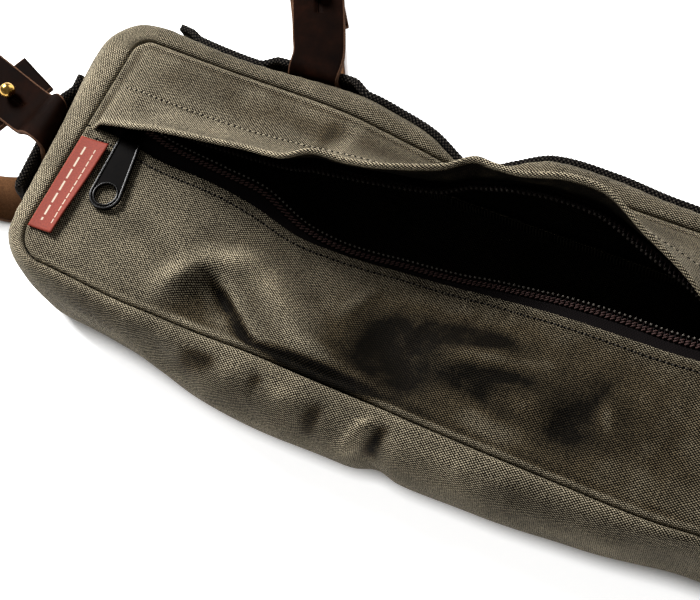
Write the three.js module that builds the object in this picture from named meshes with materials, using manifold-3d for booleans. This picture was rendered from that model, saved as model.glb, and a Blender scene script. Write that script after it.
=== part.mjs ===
import * as THREE from 'three';
import { mergeVertices } from 'three/addons/utils/BufferGeometryUtils.js';
import Module from 'manifold-3d';

const kernel = await Module();
kernel.setup();

// Driving sizes in millimetres: the bag lies on its back, long side along X, webbing side towards +Y
const FACE_LENGTH = 312; // front seam to front seam along the bag
const FACE_HEIGHT = 110; // front seam to front seam across the bag
const DEPTH = 55; // floor to the front seam
const LOWER_CORNER = 14; // plan radius of the seam at the two lower corners
const UPPER_CORNER = 8; // and at the two upper ones, which the webbing pulls square
const CANVAS = 1.5; // waxed canvas
const FLAP_CANVAS = 3; // the rain flap is folded double
const SEAM_TURN = 7; // how deep a turned edge goes into the seam
const SEAM_ROLL = 2.2; // width of the rounding over a seam
const SEAM_GAP = 0.2; // half the gap between the two edges of a seam
const SQUARENESS = 2.5; // superellipse power of the gusset's bulge
const FLAP_EDGE = 8; // y of the flap's free edge where it lies flat
const LIP_EDGE = 7.4; // y of the lower panel's folded edge where it lies flat
const STITCH_ARC = 25; // from the top seam to the row of stitches that starts the flap
const LIFT_POWER = 1.6; // how late the flap's curl starts
const TAPE = 1; // zip tape
const TAPE_TUCK = 6; // tape sewn under the folded edge
const TAPE_DROP = 0.6; // gap between canvas and tape
const COIL_RADIUS = 1.5;
const UPPER_TAPE = { from: 20, long: 11.5, depth: 2.1, swing: 10, endSwing: 18 }; // hangs from the flap
const ZIP = { left: -130, right: 138 };
const WEBBING = { thick: 2.8, gap: 0.35, topBump: 3.8, endBump: 3.6 };
const STRAP = { wide: 23, thick: 2.5, gap: 0.35, behind: 0.45, floor: 0.3 };
const STUD = { head: 3.5, neck: 1.8, base: 4.2, baseThick: 1.1, rise: 3.9 };
const LABEL = { thick: 0.7, gap: 0.35, lift: 1.8 };

const DEG = Math.PI / 180;
const LOWER_COLUMNS = 34;
const UPPER_COLUMNS = 31;
const LONG_STEPS = 20; // steps of the gusset along each long side
const SIDE_ROWS = [0.015, 0.08, 0.2, 0.4, 0.6, 0.78, 0.9, 0.975]; // heights of the gusset's rows
const WEBBING_ROWS = SIDE_ROWS.slice(2, 6);

const HALF_LENGTH = FACE_LENGTH / 2;
const HALF_HEIGHT = FACE_HEIGHT / 2;

// Along the top side: seam pushed in and down, canvas bulging out past the seam
const TOP_SIDE = [
  { x: -156, inward: 0, drop: 0, bulge: 15 },
  { x: -110, inward: 1, drop: 0, bulge: 12.3 },
  { x: -72, inward: 1, drop: 0, bulge: 15 },
  { x: -53, inward: 1.5, drop: 0.5, bulge: 16 },
  { x: -40, inward: 2, drop: 3, bulge: 15 },
  { x: -23, inward: 3, drop: 6, bulge: 12.5 },
  { x: -5, inward: 4, drop: 10, bulge: 5 },
  { x: 3, inward: 4, drop: 10, bulge: 5 },
  { x: 15, inward: 2, drop: 6, bulge: 10 },
  { x: 30, inward: 0, drop: 1, bulge: 15 },
  { x: 55, inward: 0, drop: 0, bulge: 16 },
  { x: 80, inward: 0, drop: 0, bulge: 14 },
  { x: 156, inward: 0, drop: 0, bulge: 13 },
];

// Along the bottom side: the seam bows out a little, the canvas bulges like a lens
const BOTTOM_SIDE = [
  { x: -156, inward: 0, drop: 0, bulge: 5 },
  { x: -140, inward: 0, drop: 0, bulge: 7 },
  { x: -105, inward: -2, drop: 0, bulge: 10 },
  { x: -87, inward: -2, drop: 0, bulge: 14 },
  { x: -68, inward: -2, drop: 0, bulge: 18 },
  { x: -45, inward: -1, drop: 1, bulge: 20.5 },
  { x: -20, inward: -1, drop: 2, bulge: 20 },
  { x: 3, inward: -1, drop: 2, bulge: 19 },
  { x: 12, inward: -1, drop: 2, bulge: 16.5 },
  { x: 22, inward: -1.5, drop: 1, bulge: 18 },
  { x: 50, inward: -2, drop: 0, bulge: 17 },
  { x: 68, inward: -2, drop: 0, bulge: 16 },
  { x: 85, inward: -2, drop: 0, bulge: 14 },
  { x: 102, inward: -2, drop: 0, bulge: 12 },
  { x: 118, inward: -1.5, drop: 0, bulge: 9 },
  { x: 133, inward: 0, drop: 0, bulge: 6 },
  { x: 156, inward: 0, drop: 0, bulge: 5 },
];

// Across both ends, from the bottom corner to the top one
const END_SIDE = [
  { y: -55, bulge: 10 },
  { y: -38, bulge: 14 },
  { y: -17, bulge: 16 },
  { y: 0, bulge: 17.5 },
  { y: 20, bulge: 20 },
  { y: 41, bulge: 22.5 },
  { y: 55, bulge: 22 },
];

// Dents pressed into the bottom side, by place, reach along x, reach in height and depth
const SIDE_DENTS = [
  { x: -80, z: 44, reachX: 14, reachZ: 12, depth: 4 },
  { x: 12, z: 24, reachX: 5, reachZ: 22, depth: 3 },
  { x: 2, z: 30, reachX: 5, reachZ: 18, depth: -2 },
];

// Lower panel's folded edge, and how far the zip tape reaches past it
const LIP = [
  { x: -156, y: 7.4, z: 55, reach: 5 },
  { x: -140, y: 6.6, z: 54.6, reach: 5.5 },
  { x: -130, y: 5.4, z: 54, reach: 7.8 },
  { x: -118, y: 4, z: 53, reach: 7 },
  { x: -92, y: 4, z: 50.2, reach: 5.6 },
  { x: -74, y: 3, z: 45.2, reach: 6.4 },
  { x: -55, y: 0, z: 39.6, reach: 4 },
  { x: -40, y: 1.2, z: 35, reach: 2.4 },
  { x: -27, y: 3.4, z: 31, reach: 2.2 },
  { x: -10, y: 5.4, z: 30, reach: 2.6 },
  { x: 12, y: 6.4, z: 32.4, reach: 3 },
  { x: 27, y: 7, z: 35.4, reach: 3.9 },
  { x: 45, y: 7, z: 40, reach: 4.6 },
  { x: 63, y: 6.6, z: 44.6, reach: 5.2 },
  { x: 81, y: 5.9, z: 48, reach: 5.5 },
  { x: 98, y: 5.2, z: 51, reach: 5.2 },
  { x: 112, y: 5.6, z: 53, reach: 5.3 },
  { x: 138, y: 7.2, z: 55, reach: 6.5 },
  { x: 156, y: 7.4, z: 55, reach: 5 },
];

// Folds of the lower panel: a ridge (or a valley, below zero) along its heading in degrees
const FOLDS = [
  { x: -76, y: -42, heading: -40, length: 24, width: 11, height: -4.5 },
  { x: -61, y: -41, heading: -41, length: 20, width: 5, height: -3.5 },
  { x: -36, y: -53, heading: -18, length: 26, width: 5, height: -3.5 },
  { x: -40, y: -36, heading: -32, length: 42, width: 8, height: 5.5 },
  { x: -85, y: -35, heading: 49, length: 18, width: 6, height: 2.5 },
  { x: 2, y: -32, heading: -35, length: 30, width: 12, height: -4.5 },
  { x: 30, y: -22, heading: 12, length: 24, width: 8, height: 3 },
  { x: 46, y: -38, heading: -14, length: 26, width: 6, height: -2.5 },
  { x: 72, y: -40, heading: 30, length: 24, width: 9, height: -2 },
];

// Upper panel: angle of the canvas above level at the seam and at the flap's edge
const LIFT = [
  { x: -156, start: 4, end: 6 },
  { x: -140, start: 12, end: 14 },
  { x: -130, start: 9, end: 29 },
  { x: -120, start: 7, end: 43 },
  { x: -100, start: 5, end: 58 },
  { x: -80, start: 7, end: 65 },
  { x: -62, start: 13, end: 66 },
  { x: -50, start: 20, end: 79 },
  { x: -36, start: 30, end: 75 },
  { x: -20, start: 40, end: 78 },
  { x: 0, start: 52, end: 90 },
  { x: 10, start: 56, end: 97 },
  { x: 20, start: 58, end: 84 },
  { x: 30, start: 60, end: 75 },
  { x: 48, start: 60, end: 89 },
  { x: 62, start: 58, end: 90 },
  { x: 78, start: 50, end: 74 },
  { x: 100, start: 36, end: 58 },
  { x: 125, start: 14, end: 22 },
  { x: 140, start: 10, end: 14 },
  { x: 156, start: 4, end: 6 },
];

// Value of one column of a table at a place along its key, smooth through the rows
function read(table, key, column, at) {
  const last = table.length - 1;
  if (at <= table[0][key]) return table[0][column];
  if (at >= table[last][key]) return table[last][column];
  let i = 0;
  while (table[i + 1][key] < at) i += 1;
  const slope = (k) => {
    const a = table[Math.max(k - 1, 0)];
    const b = table[Math.min(k + 1, last)];
    return (b[column] - a[column]) / (b[key] - a[key]);
  };
  const step = table[i + 1][key] - table[i][key];
  const t = (at - table[i][key]) / step;
  const a = table[i][column];
  const b = table[i + 1][column];
  const t2 = t * t;
  const t3 = t2 * t;
  return (2 * t3 - 3 * t2 + 1) * a + (t3 - 2 * t2 + t) * step * slope(i)
    + (3 * t2 - 2 * t3) * b + (t3 - t2) * step * slope(i + 1);
}

function smoothstep(t) {
  const c = Math.min(Math.max(t, 0), 1);
  return c * c * (3 - 2 * c);
}

// Seam line: a plan point on the rounded rectangle and its outward normal give the seam's place in space
function seamPoint(px, py, nx, ny) {
  const table = ny > 0 ? TOP_SIDE : BOTTOM_SIDE;
  const share = ny * ny;
  const inward = read(table, 'x', 'inward', px) * share;
  const drop = read(table, 'x', 'drop', px) * share;
  return new THREE.Vector3(px - nx * inward, py - ny * inward, DEPTH - drop);
}

// Rounding of the seam's plan on the lower side (w below zero) or the upper one: radius and centre
function cornerOf(w) {
  const radius = w < 0 ? LOWER_CORNER : UPPER_CORNER;
  return { radius, x: HALF_LENGTH - radius, y: HALF_HEIGHT - radius };
}

// Plan points round the seam, counter-clockwise from above, with outward normals
function seamLoop(alongX, alongY, perCorner) {
  const loop = [];
  const straight = (x0, y0, x1, y1, nx, ny, count) => {
    for (let i = 0; i < count; i += 1) {
      const t = i / count;
      loop.push({ x: x0 + (x1 - x0) * t, y: y0 + (y1 - y0) * t, nx, ny });
    }
  };
  const corner = (round, signX, signY, from) => {
    for (let i = 0; i < perCorner; i += 1) {
      const a = THREE.MathUtils.degToRad(from + 90 * i / perCorner);
      const nx = Math.cos(a);
      const ny = Math.sin(a);
      loop.push({ x: signX * round.x + round.radius * nx, y: signY * round.y + round.radius * ny, nx, ny });
    }
  };
  const low = cornerOf(-1);
  const high = cornerOf(1);
  straight(-low.x, -HALF_HEIGHT, low.x, -HALF_HEIGHT, 0, -1, alongX);
  corner(low, 1, -1, -90);
  straight(HALF_LENGTH, -low.y, HALF_LENGTH, high.y, 1, 0, alongY);
  corner(high, 1, 1, 0);
  straight(high.x, HALF_HEIGHT, -high.x, HALF_HEIGHT, 0, 1, alongX);
  corner(high, -1, 1, 90);
  straight(-HALF_LENGTH, high.y, -HALF_LENGTH, -low.y, -1, 0, alongY);
  corner(low, -1, -1, 180);
  return loop;
}

function bulgeAt(p) {
  const side = read(p.ny > 0 ? TOP_SIDE : BOTTOM_SIDE, 'x', 'bulge', p.x);
  const end = read(END_SIDE, 'y', 'bulge', p.y);
  return end * p.nx * p.nx + side * p.ny * p.ny;
}

function sideDent(p, z) {
  if (p.ny > -0.5) return 0;
  return SIDE_DENTS.reduce((sum, d) => {
    const across = (p.x - d.x) / d.reachX;
    const upright = (z - d.z) / d.reachZ;
    return sum + d.depth * Math.exp(-across * across - upright * upright);
  }, 0);
}

// Point on the outside of the gusset: p on the seam's plan, height from 0 at the floor to 1 at the front
function gussetPoint(p, height) {
  const seam = seamPoint(p.x, p.y, p.nx, p.ny);
  const up = 2 * height - 1;
  const round = Math.pow(1 - Math.pow(Math.abs(up), SQUARENESS), 1 / SQUARENESS);
  const z = height * seam.z;
  const out = bulgeAt(p) * round - sideDent(p, z);
  const shift = smoothstep(height);
  return new THREE.Vector3(
    p.x + (seam.x - p.x) * shift + p.nx * out,
    p.y + (seam.y - p.y) * shift + p.ny * out,
    z,
  );
}

// Point a small way off the gusset, along its own normal
function offGusset(p, height, lift) {
  const step = 0.02;
  const here = gussetPoint(p, height);
  const upward = gussetPoint(p, height + step).sub(gussetPoint(p, height - step));
  const next = { ...p, x: p.x - p.ny, y: p.y + p.nx };
  const before = { ...p, x: p.x + p.ny, y: p.y - p.nx };
  const onward = gussetPoint(next, height).sub(gussetPoint(before, height));
  return here.addScaledVector(onward.cross(upward).normalize(), lift);
}

// Rows of the gusset from the turned back edge, round the bulge, to the turned front edge
function gussetRows(p) {
  const seam = seamPoint(p.x, p.y, p.nx, p.ny);
  const back = (out, z) => new THREE.Vector3(p.x + p.nx * out, p.y + p.ny * out, z);
  const front = (out, down) => new THREE.Vector3(seam.x + p.nx * out, seam.y + p.ny * out, seam.z - down);
  return [
    back(SEAM_GAP, SEAM_TURN),
    back(SEAM_GAP, 2),
    back(0.9, 0.6),
    ...SIDE_ROWS.map((h) => gussetPoint(p, h)),
    front(0.9, 0.6),
    front(SEAM_GAP, 2),
    front(SEAM_GAP, SEAM_TURN),
  ];
}

// Ridges and valleys of the lower panel
function foldHeight(x, y) {
  return FOLDS.reduce((sum, f) => {
    const a = THREE.MathUtils.degToRad(f.heading);
    const along = ((x - f.x) * Math.cos(a) + (y - f.y) * Math.sin(a)) / f.length;
    const across = ((y - f.y) * Math.cos(a) - (x - f.x) * Math.sin(a)) / f.width;
    const fade = Math.max(1 - along * along, 0);
    return sum + f.height * fade * fade * Math.exp(-across * across);
  }, 0);
}

// Lower panel: plan place (x, w) on the flat pattern, w from the bottom seam up to the folded edge
function lowerPoint(x, w) {
  const seamY = read(BOTTOM_SIDE, 'x', 'inward', x) - HALF_HEIGHT;
  const seamZ = DEPTH - read(BOTTOM_SIDE, 'x', 'drop', x);
  const from = -HALF_HEIGHT + SEAM_ROLL;
  const t = (w - from) / (LIP_EDGE - from);
  const toEnd = (HALF_LENGTH - SEAM_ROLL - Math.abs(x)) / 16;
  const rim = smoothstep(Math.min(t * 4, toEnd));
  const y = seamY + SEAM_ROLL + (read(LIP, 'x', 'y', x) - seamY - SEAM_ROLL) * t;
  const z = seamZ + (read(LIP, 'x', 'z', x) - seamZ) * t + foldHeight(x, y) * rim;
  return new THREE.Vector3(x, y, z);
}

// Upper panel: canvas of fixed length laid out from the top seam at an angle that grows towards the edge
function upperFrame(x, arc) {
  const toEnd = smoothstep((HALF_LENGTH - SEAM_ROLL - Math.abs(x)) / 14);
  const start = read(LIFT, 'x', 'start', x) * toEnd;
  const end = read(LIFT, 'x', 'end', x) * toEnd;
  const full = HALF_HEIGHT - SEAM_ROLL - FLAP_EDGE;
  const steps = 12;
  let y = HALF_HEIGHT - SEAM_ROLL - read(TOP_SIDE, 'x', 'inward', x);
  let z = DEPTH - read(TOP_SIDE, 'x', 'drop', x);
  const angleAt = (s) => THREE.MathUtils.degToRad(start + (end - start) * Math.pow(s / full, LIFT_POWER));
  for (let i = 0; i < steps; i += 1) {
    const angle = angleAt(arc * (i + 0.5) / steps);
    y -= Math.cos(angle) * arc / steps;
    z += Math.sin(angle) * arc / steps;
  }
  const angle = angleAt(arc);
  const under = new THREE.Vector3(0, -Math.sin(angle), -Math.cos(angle));
  return { point: new THREE.Vector3(x, y, z), under };
}

// Closed solid from an open surface: the surface is the outside, the wall goes inward along the normals
function thicken(points, faces, thickness) {
  const count = points.length;
  const normals = points.map(() => new THREE.Vector3());
  const directed = new Set();
  faces.forEach(([a, b, c]) => {
    const n = new THREE.Vector3().subVectors(points[b], points[a])
      .cross(new THREE.Vector3().subVectors(points[c], points[a]));
    [a, b, c].forEach((v) => normals[v].add(n));
    [[a, b], [b, c], [c, a]].forEach(([u, v]) => directed.add(u * count + v));
  });
  const positions = [];
  points.forEach((p) => positions.push(p.x, p.y, p.z));
  points.forEach((p, i) => {
    const t = typeof thickness === 'number' ? thickness : thickness(i);
    const q = p.clone().addScaledVector(normals[i].normalize(), -t);
    positions.push(q.x, q.y, q.z);
  });
  const index = [];
  faces.forEach(([a, b, c]) => index.push(a, b, c, a + count, c + count, b + count));
  directed.forEach((edge) => {
    const a = Math.floor(edge / count);
    const b = edge % count;
    if (!directed.has(b * count + a)) index.push(b, a, a + count, b, a + count, b + count);
  });
  const geometry = new THREE.BufferGeometry();
  geometry.setAttribute('position', new THREE.Float32BufferAttribute(positions, 3));
  geometry.setIndex(index);
  return geometry;
}

// Faces of a grid of points stored row by row; looped joins the last column to the first
function gridFaces(columns, rows, looped = false) {
  const faces = [];
  const spans = looped ? columns : columns - 1;
  for (let j = 0; j < rows - 1; j += 1) {
    for (let i = 0; i < spans; i += 1) {
      const a = j * columns + i;
      const b = j * columns + (i + 1) % columns;
      faces.push([a, b, b + columns], [a, b + columns, a + columns]);
    }
  }
  return faces;
}

function gusset() {
  const loop = seamLoop(LONG_STEPS, 6, 4);
  const rings = loop.map(gussetRows);
  const rows = rings[0].length;
  const points = [];
  for (let j = 0; j < rows; j += 1) {
    rings.forEach((ring) => points.push(ring[j]));
  }
  return thicken(points, gridFaces(loop.length, rows, true), CANVAS);
}

// Half width of the panel inside the seam's rounding, at a height w on the flat pattern
function rowHalfWidth(w) {
  const round = cornerOf(w);
  const inset = round.radius - SEAM_ROLL;
  const over = Math.min(Math.max(Math.abs(w) - round.y, 0), inset);
  return round.x + Math.sqrt(inset * inset - over * over);
}

// Turned edge of a panel: the rim follows the seam's plan, then rolls over and goes down
function addSkirt(points, faces, rim) {
  const profile = [[0.9, 0.6], [SEAM_GAP, 2], [SEAM_GAP, SEAM_TURN]];
  let previous = rim.map((r) => r.index);
  profile.forEach(([inset, down]) => {
    const row = rim.map((r) => {
      const base = points[r.index];
      points.push(new THREE.Vector3(
        base.x + r.nx * (SEAM_ROLL - inset),
        base.y + r.ny * (SEAM_ROLL - inset),
        base.z - down,
      ));
      return points.length - 1;
    });
    for (let k = 0; k < rim.length - 1; k += 1) {
      faces.push([previous[k], row[k], row[k + 1]], [previous[k], row[k + 1], previous[k + 1]]);
    }
    previous = row;
  });
}

function rimNormal(x, w) {
  const round = cornerOf(w);
  if (Math.abs(w) <= round.y) return { nx: Math.sign(x), ny: 0 };
  const n = new THREE.Vector2(x - Math.sign(x) * round.x, w - Math.sign(w) * round.y).normalize();
  return { nx: n.x, ny: n.y };
}

// Heights of a panel's rows round a corner, from the seam inward, by the sines of their angles
function cornerRows(side, sines) {
  const round = cornerOf(side);
  return sines.map((s) => side * (round.y + s * (round.radius - SEAM_ROLL)));
}

function lowerPanel() {
  const columns = LOWER_COLUMNS;
  const heights = [...cornerRows(-1, [1, 0.924, 0.707, 0.383, 0]), -32, -23, -14, -6, 1, LIP_EDGE];
  const points = [];
  const flat = [];
  heights.forEach((w) => {
    const half = rowHalfWidth(w);
    for (let i = 0; i < columns; i += 1) {
      const x = half * (2 * i / (columns - 1) - 1);
      points.push(lowerPoint(x, w));
      flat.push({ x, w });
    }
  });
  const faces = gridFaces(columns, heights.length);
  const rim = [];
  const add = (index) => rim.push({ index, ...rimNormal(flat[index].x, flat[index].w) });
  for (let j = heights.length - 1; j > 0; j -= 1) add(j * columns);
  for (let i = 0; i < columns; i += 1) rim.push({ index: i, nx: 0, ny: -1 });
  for (let j = 1; j < heights.length; j += 1) add(j * columns + columns - 1);
  addSkirt(points, faces, rim);
  return thicken(points, faces, CANVAS);
}

function upperPanel() {
  const columns = UPPER_COLUMNS;
  const heights = [FLAP_EDGE, 15, 21, 28, 38, ...cornerRows(1, [0, 0.5, 0.87, 1])];
  const full = HALF_HEIGHT - SEAM_ROLL;
  const points = [];
  const flat = [];
  heights.forEach((w) => {
    const half = rowHalfWidth(w);
    for (let i = 0; i < columns; i += 1) {
      const x = half * (2 * i / (columns - 1) - 1);
      points.push(upperFrame(x, full - w).point);
      flat.push({ x, w });
    }
  });
  const faces = gridFaces(columns, heights.length);
  const top = heights.length - 1;
  const rim = [];
  const add = (index) => rim.push({ index, ...rimNormal(flat[index].x, flat[index].w) });
  for (let j = 0; j < top; j += 1) add(j * columns + columns - 1);
  for (let i = columns - 1; i >= 0; i -= 1) rim.push({ index: top * columns + i, nx: 0, ny: 1 });
  for (let j = top - 1; j >= 0; j -= 1) add(j * columns);
  addSkirt(points, faces, rim);
  const flapStart = full - STITCH_ARC - 1;
  return thicken(points, faces, (i) => (i < flat.length && flat[i].w < flapStart ? FLAP_CANVAS : CANVAS));
}

function backPanel() {
  const loop = seamLoop(4, 2, 4);
  const rows = [[SEAM_GAP, SEAM_TURN], [SEAM_GAP, 2], [0.9, 0.6], [SEAM_ROLL, 0]];
  const points = [];
  rows.forEach(([inset, z]) => {
    loop.forEach((p) => points.push(new THREE.Vector3(p.x - p.nx * inset, p.y - p.ny * inset, z)));
  });
  const faces = gridFaces(loop.length, rows.length, true).map(([a, b, c]) => [a, c, b]);
  const first = (rows.length - 1) * loop.length;
  const centre = points.length;
  points.push(new THREE.Vector3(0, 0, 0));
  loop.forEach((p, i) => faces.push([first + (i + 1) % loop.length, first + i, centre]));
  return thicken(points, faces, CANVAS);
}

// Thin strip from a function of (column, row), outside up or out
function strip(columns, rows, pointAt, thick) {
  const points = [];
  for (let j = 0; j < rows; j += 1) {
    for (let i = 0; i < columns; i += 1) points.push(pointAt(i / (columns - 1), j / (rows - 1)));
  }
  return thicken(points, gridFaces(columns, rows), thick);
}

// Place on the lower tape, measured past the folded edge (below zero: tucked under the panel)
function lipPoint(x, past) {
  const lip = lowerPoint(x, LIP_EDGE);
  const inside = lowerPoint(x, LIP_EDGE - TAPE_TUCK);
  const slope = (lip.z - inside.z) / (lip.y - inside.y);
  const under = (CANVAS + TAPE_DROP) * Math.hypot(1, slope);
  const place = past < 0 ? lip.clone().lerp(inside, -past / TAPE_TUCK) : lip.clone().setY(lip.y + past);
  const rise = past > 0 ? 0.25 * past : 0;
  return place.setZ(place.z - under + rise);
}

// The tape has the panel's own columns, all but the outermost, so that the two lie snug
function tapeColumn(columns, u) {
  return (HALF_LENGTH - SEAM_ROLL) * (1 - 2 / (columns - 1)) * (2 * u - 1);
}

function lowerTape() {
  return strip(LOWER_COLUMNS - 2, 3, (u, v) => {
    const x = tapeColumn(LOWER_COLUMNS, u);
    const reach = read(LIP, 'x', 'reach', x);
    return lipPoint(x, [-TAPE_TUCK, 0, reach][Math.round(v * 2)]);
  }, TAPE);
}

// Place on the upper tape, measured from its sewn edge; it swings inward from under the flap
function upperTapePoint(x, along, deeper) {
  const frame = upperFrame(x, UPPER_TAPE.from);
  const onward = new THREE.Vector3(0, frame.under.z, -frame.under.y);
  const inward = smoothstep((150 - Math.abs(x)) / 50);
  const swing = DEG * (UPPER_TAPE.endSwing + (UPPER_TAPE.swing - UPPER_TAPE.endSwing) * inward);
  const way = onward.clone().multiplyScalar(Math.cos(swing)).addScaledVector(frame.under, Math.sin(swing));
  const below = frame.under.clone().multiplyScalar(Math.cos(swing)).addScaledVector(onward, -Math.sin(swing));
  return frame.point.addScaledVector(frame.under, UPPER_TAPE.depth)
    .addScaledVector(way, along)
    .addScaledVector(below, deeper);
}

function upperTape() {
  return strip(UPPER_COLUMNS - 2, 3, (u, v) => {
    const x = tapeColumn(UPPER_COLUMNS, u);
    const long = UPPER_TAPE.long - (x < ZIP.left ? 5 : 0);
    return upperTapePoint(x, long * (1 - v), 0);
  }, TAPE);
}

// Round bar along a line of points, closed at both ends
function bar(line, radius, sides) {
  const curve = new THREE.CatmullRomCurve3(line);
  const shape = new THREE.Shape();
  for (let i = 0; i < sides; i += 1) {
    const a = 2 * Math.PI * i / sides;
    if (i === 0) shape.moveTo(radius, 0);
    else shape.lineTo(radius * Math.cos(a), radius * Math.sin(a));
  }
  shape.closePath();
  return new THREE.ExtrudeGeometry(shape, { steps: 30, extrudePath: curve, curveSegments: 1 });
}

function coilLine(pointAt) {
  const line = [];
  for (let i = 0; i <= 30; i += 1) line.push(pointAt(ZIP.left + (ZIP.right - ZIP.left) * i / 30));
  return bar(line, COIL_RADIUS, 5);
}

function lowerCoil() {
  const clear = COIL_RADIUS + 0.4;
  const lower = new THREE.Vector3(0, 0, -TAPE / 2);
  return coilLine((x) => lipPoint(x, read(LIP, 'x', 'reach', x) + clear).add(lower));
}

function upperCoil() {
  const clear = COIL_RADIUS + 0.4;
  return coilLine((x) => upperTapePoint(x, UPPER_TAPE.long + clear, TAPE / 2));
}

// Webbing along the top side, standing off where the strap passes behind it
const TOP_STRAP_X = -80;
const END_STRAP_Y = -2;

function standOff(along, centre, reach, bump) {
  const far = Math.abs(along - centre);
  return WEBBING.gap + bump * smoothstep((reach - far) / 9);
}

function topWebbing() {
  const columns = LONG_STEPS + 1;
  return strip(columns, WEBBING_ROWS.length, (u, v) => {
    const x = cornerOf(1).x * (1 - 2 * u);
    const p = { x, y: HALF_HEIGHT, nx: 0, ny: 1 };
    const height = WEBBING_ROWS[Math.round(v * (WEBBING_ROWS.length - 1))];
    return offGusset(p, height, standOff(x, TOP_STRAP_X, 26, WEBBING.topBump) + WEBBING.thick);
  }, WEBBING.thick);
}

function endWebbing() {
  const from = 33;
  const to = -27;
  return strip(9, WEBBING_ROWS.length, (u, v) => {
    const y = from + (to - from) * u;
    const p = { x: -HALF_LENGTH, y, nx: -1, ny: 0 };
    const height = WEBBING_ROWS[Math.round(v * (WEBBING_ROWS.length - 1))];
    return offGusset(p, height, standOff(y, END_STRAP_Y, 30, WEBBING.endBump) + WEBBING.thick);
  }, WEBBING.thick);
}

// Strap rolled on a level cylinder: a flat place in front of the foot is laid on the floor, round and back
function rolled(roll, along, across) {
  const heading = roll.heading * DEG;
  const flat = new THREE.Vector2(along, across).rotateAround(new THREE.Vector2(), heading);
  const p = new THREE.Vector2(Math.cos(roll.out * DEG), Math.sin(roll.out * DEG));
  const a = new THREE.Vector2(-p.y, p.x);
  const d = flat.dot(p);
  const l = flat.dot(a);
  const turn = Math.min(Math.max((d - roll.start) / roll.radius, 0), Math.PI);
  const past = Math.max(d - roll.start - Math.PI * roll.radius, 0);
  const reach = Math.min(d, roll.start) + roll.radius * Math.sin(turn) - past;
  return new THREE.Vector3(
    roll.x + p.x * reach + a.x * l,
    roll.y + p.y * reach + a.y * l,
    STRAP.floor + roll.radius * (1 - Math.cos(turn)),
  );
}

// One strap: tail, over the stud, in behind the webbing, down, out on the floor, round and back to the stud
function strap(spec) {
  const across = [0.5, 0.25, 0, -0.25, -0.5].map((w) => w * STRAP.wide);
  const points = [];
  const row = (centre, side) => {
    const way = new THREE.Vector3(Math.cos(side * DEG), Math.sin(side * DEG), 0);
    across.forEach((w) => points.push(centre.clone().addScaledVector(way, w)));
  };
  spec.over.forEach((r) => row(new THREE.Vector3(r.x, r.y, r.z), r.side));
  [...WEBBING_ROWS].reverse().forEach((height) => {
    across.forEach((w) => points.push(offGusset(spec.behind(height, w), height, STRAP.behind)));
  });
  spec.foot.forEach((r) => row(new THREE.Vector3(r.x, r.y, r.z), r.side));
  const roll = { ...spec.roll, radius: (spec.stud.z - STRAP.thick - STRAP.gap - STRAP.floor) / 2 };
  const turns = 10;
  const slack = spec.roll.slack;
  const span = Math.PI * roll.radius + 2 * slack;
  const alongs = [roll.first];
  for (let i = 0; i <= turns; i += 1) alongs.push(roll.start - slack + span * i / turns);
  alongs.push(roll.length);
  alongs.forEach((along) => across.forEach((w) => points.push(rolled(roll, along, -w))));
  const faces = gridFaces(across.length, points.length / across.length);
  return pierce(thicken(points, faces, STRAP.thick), spec);
}

// Hole for the stud through both layers and a slit beside it in the upper one
function pierce(geometry, spec) {
  const { x, y, z, slit } = spec.stud;
  const clear = STUD.neck + 0.3;
  const layers = 2 * STRAP.thick + STRAP.gap;
  const hole = kernel.Manifold.cylinder(layers + 2, clear, clear, 14).translate([x, y, z - layers - 1]);
  const cut = kernel.Manifold.cube([8, 0.9, STRAP.thick + 1], false)
    .translate([0, -0.45, -STRAP.thick - 0.1]).rotate([0, 0, slit]).translate([x, y, z]);
  return geometryOf(solidOf(geometry).subtract(hole).subtract(cut));
}

// Ball stud: base under both layers, neck through them, round head on top
function stud(spec) {
  const { x, y, z } = spec.stud;
  const under = -2 * STRAP.thick - 2 * STRAP.gap;
  const profile = [
    [0, under - STUD.baseThick], [STUD.base, under - STUD.baseThick], [STUD.base, under], [STUD.neck, under],
  ];
  const open = Math.asin(STUD.neck / STUD.head);
  const steps = 6;
  for (let i = 0; i <= steps; i += 1) {
    const a = open + (Math.PI - open) * i / steps;
    profile.push([Math.max(STUD.head * Math.sin(a), 0), STUD.rise - STUD.head * Math.cos(a)]);
  }
  profile[profile.length - 1][0] = 0;
  const lathe = new THREE.LatheGeometry(profile.map(([r, h]) => new THREE.Vector2(r, h)), 12);
  return lathe.rotateX(Math.PI / 2).translate(x, y, z);
}

const END_STRAP = {
  over: [
    { x: -230, y: 21.8, z: 38, side: 74 },
    { x: -215, y: 17.4, z: 38, side: 74 },
    { x: -199, y: 12.7, z: 38, side: 74 },
    { x: -191, y: 10.4, z: 39.6, side: 76 },
    { x: -185.2, y: 9, z: 45.2, side: 79 },
    { x: -180.2, y: 7.5, z: 49.4, side: 83 },
    { x: -175.5, y: 6, z: 49.9, side: 88 },
    { x: -172.7, y: 4.6, z: 47.4, side: 93 },
  ],
  behind: (height, w) => ({ x: -HALF_LENGTH, y: -12 + 19 * height + w, nx: -1, ny: 0 }),
  foot: [
    { x: -172.2, y: -9.4, z: 5, side: 98 },
    { x: -175, y: -10.2, z: 1.6, side: 104 },
  ],
  roll: { x: -178, y: -11, heading: 199.3, out: 222.8, start: 22, first: 4, slack: 6, length: 120 },
  stud: { x: -206.3, y: 14.8, z: 38, slit: -16 },
};

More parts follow.
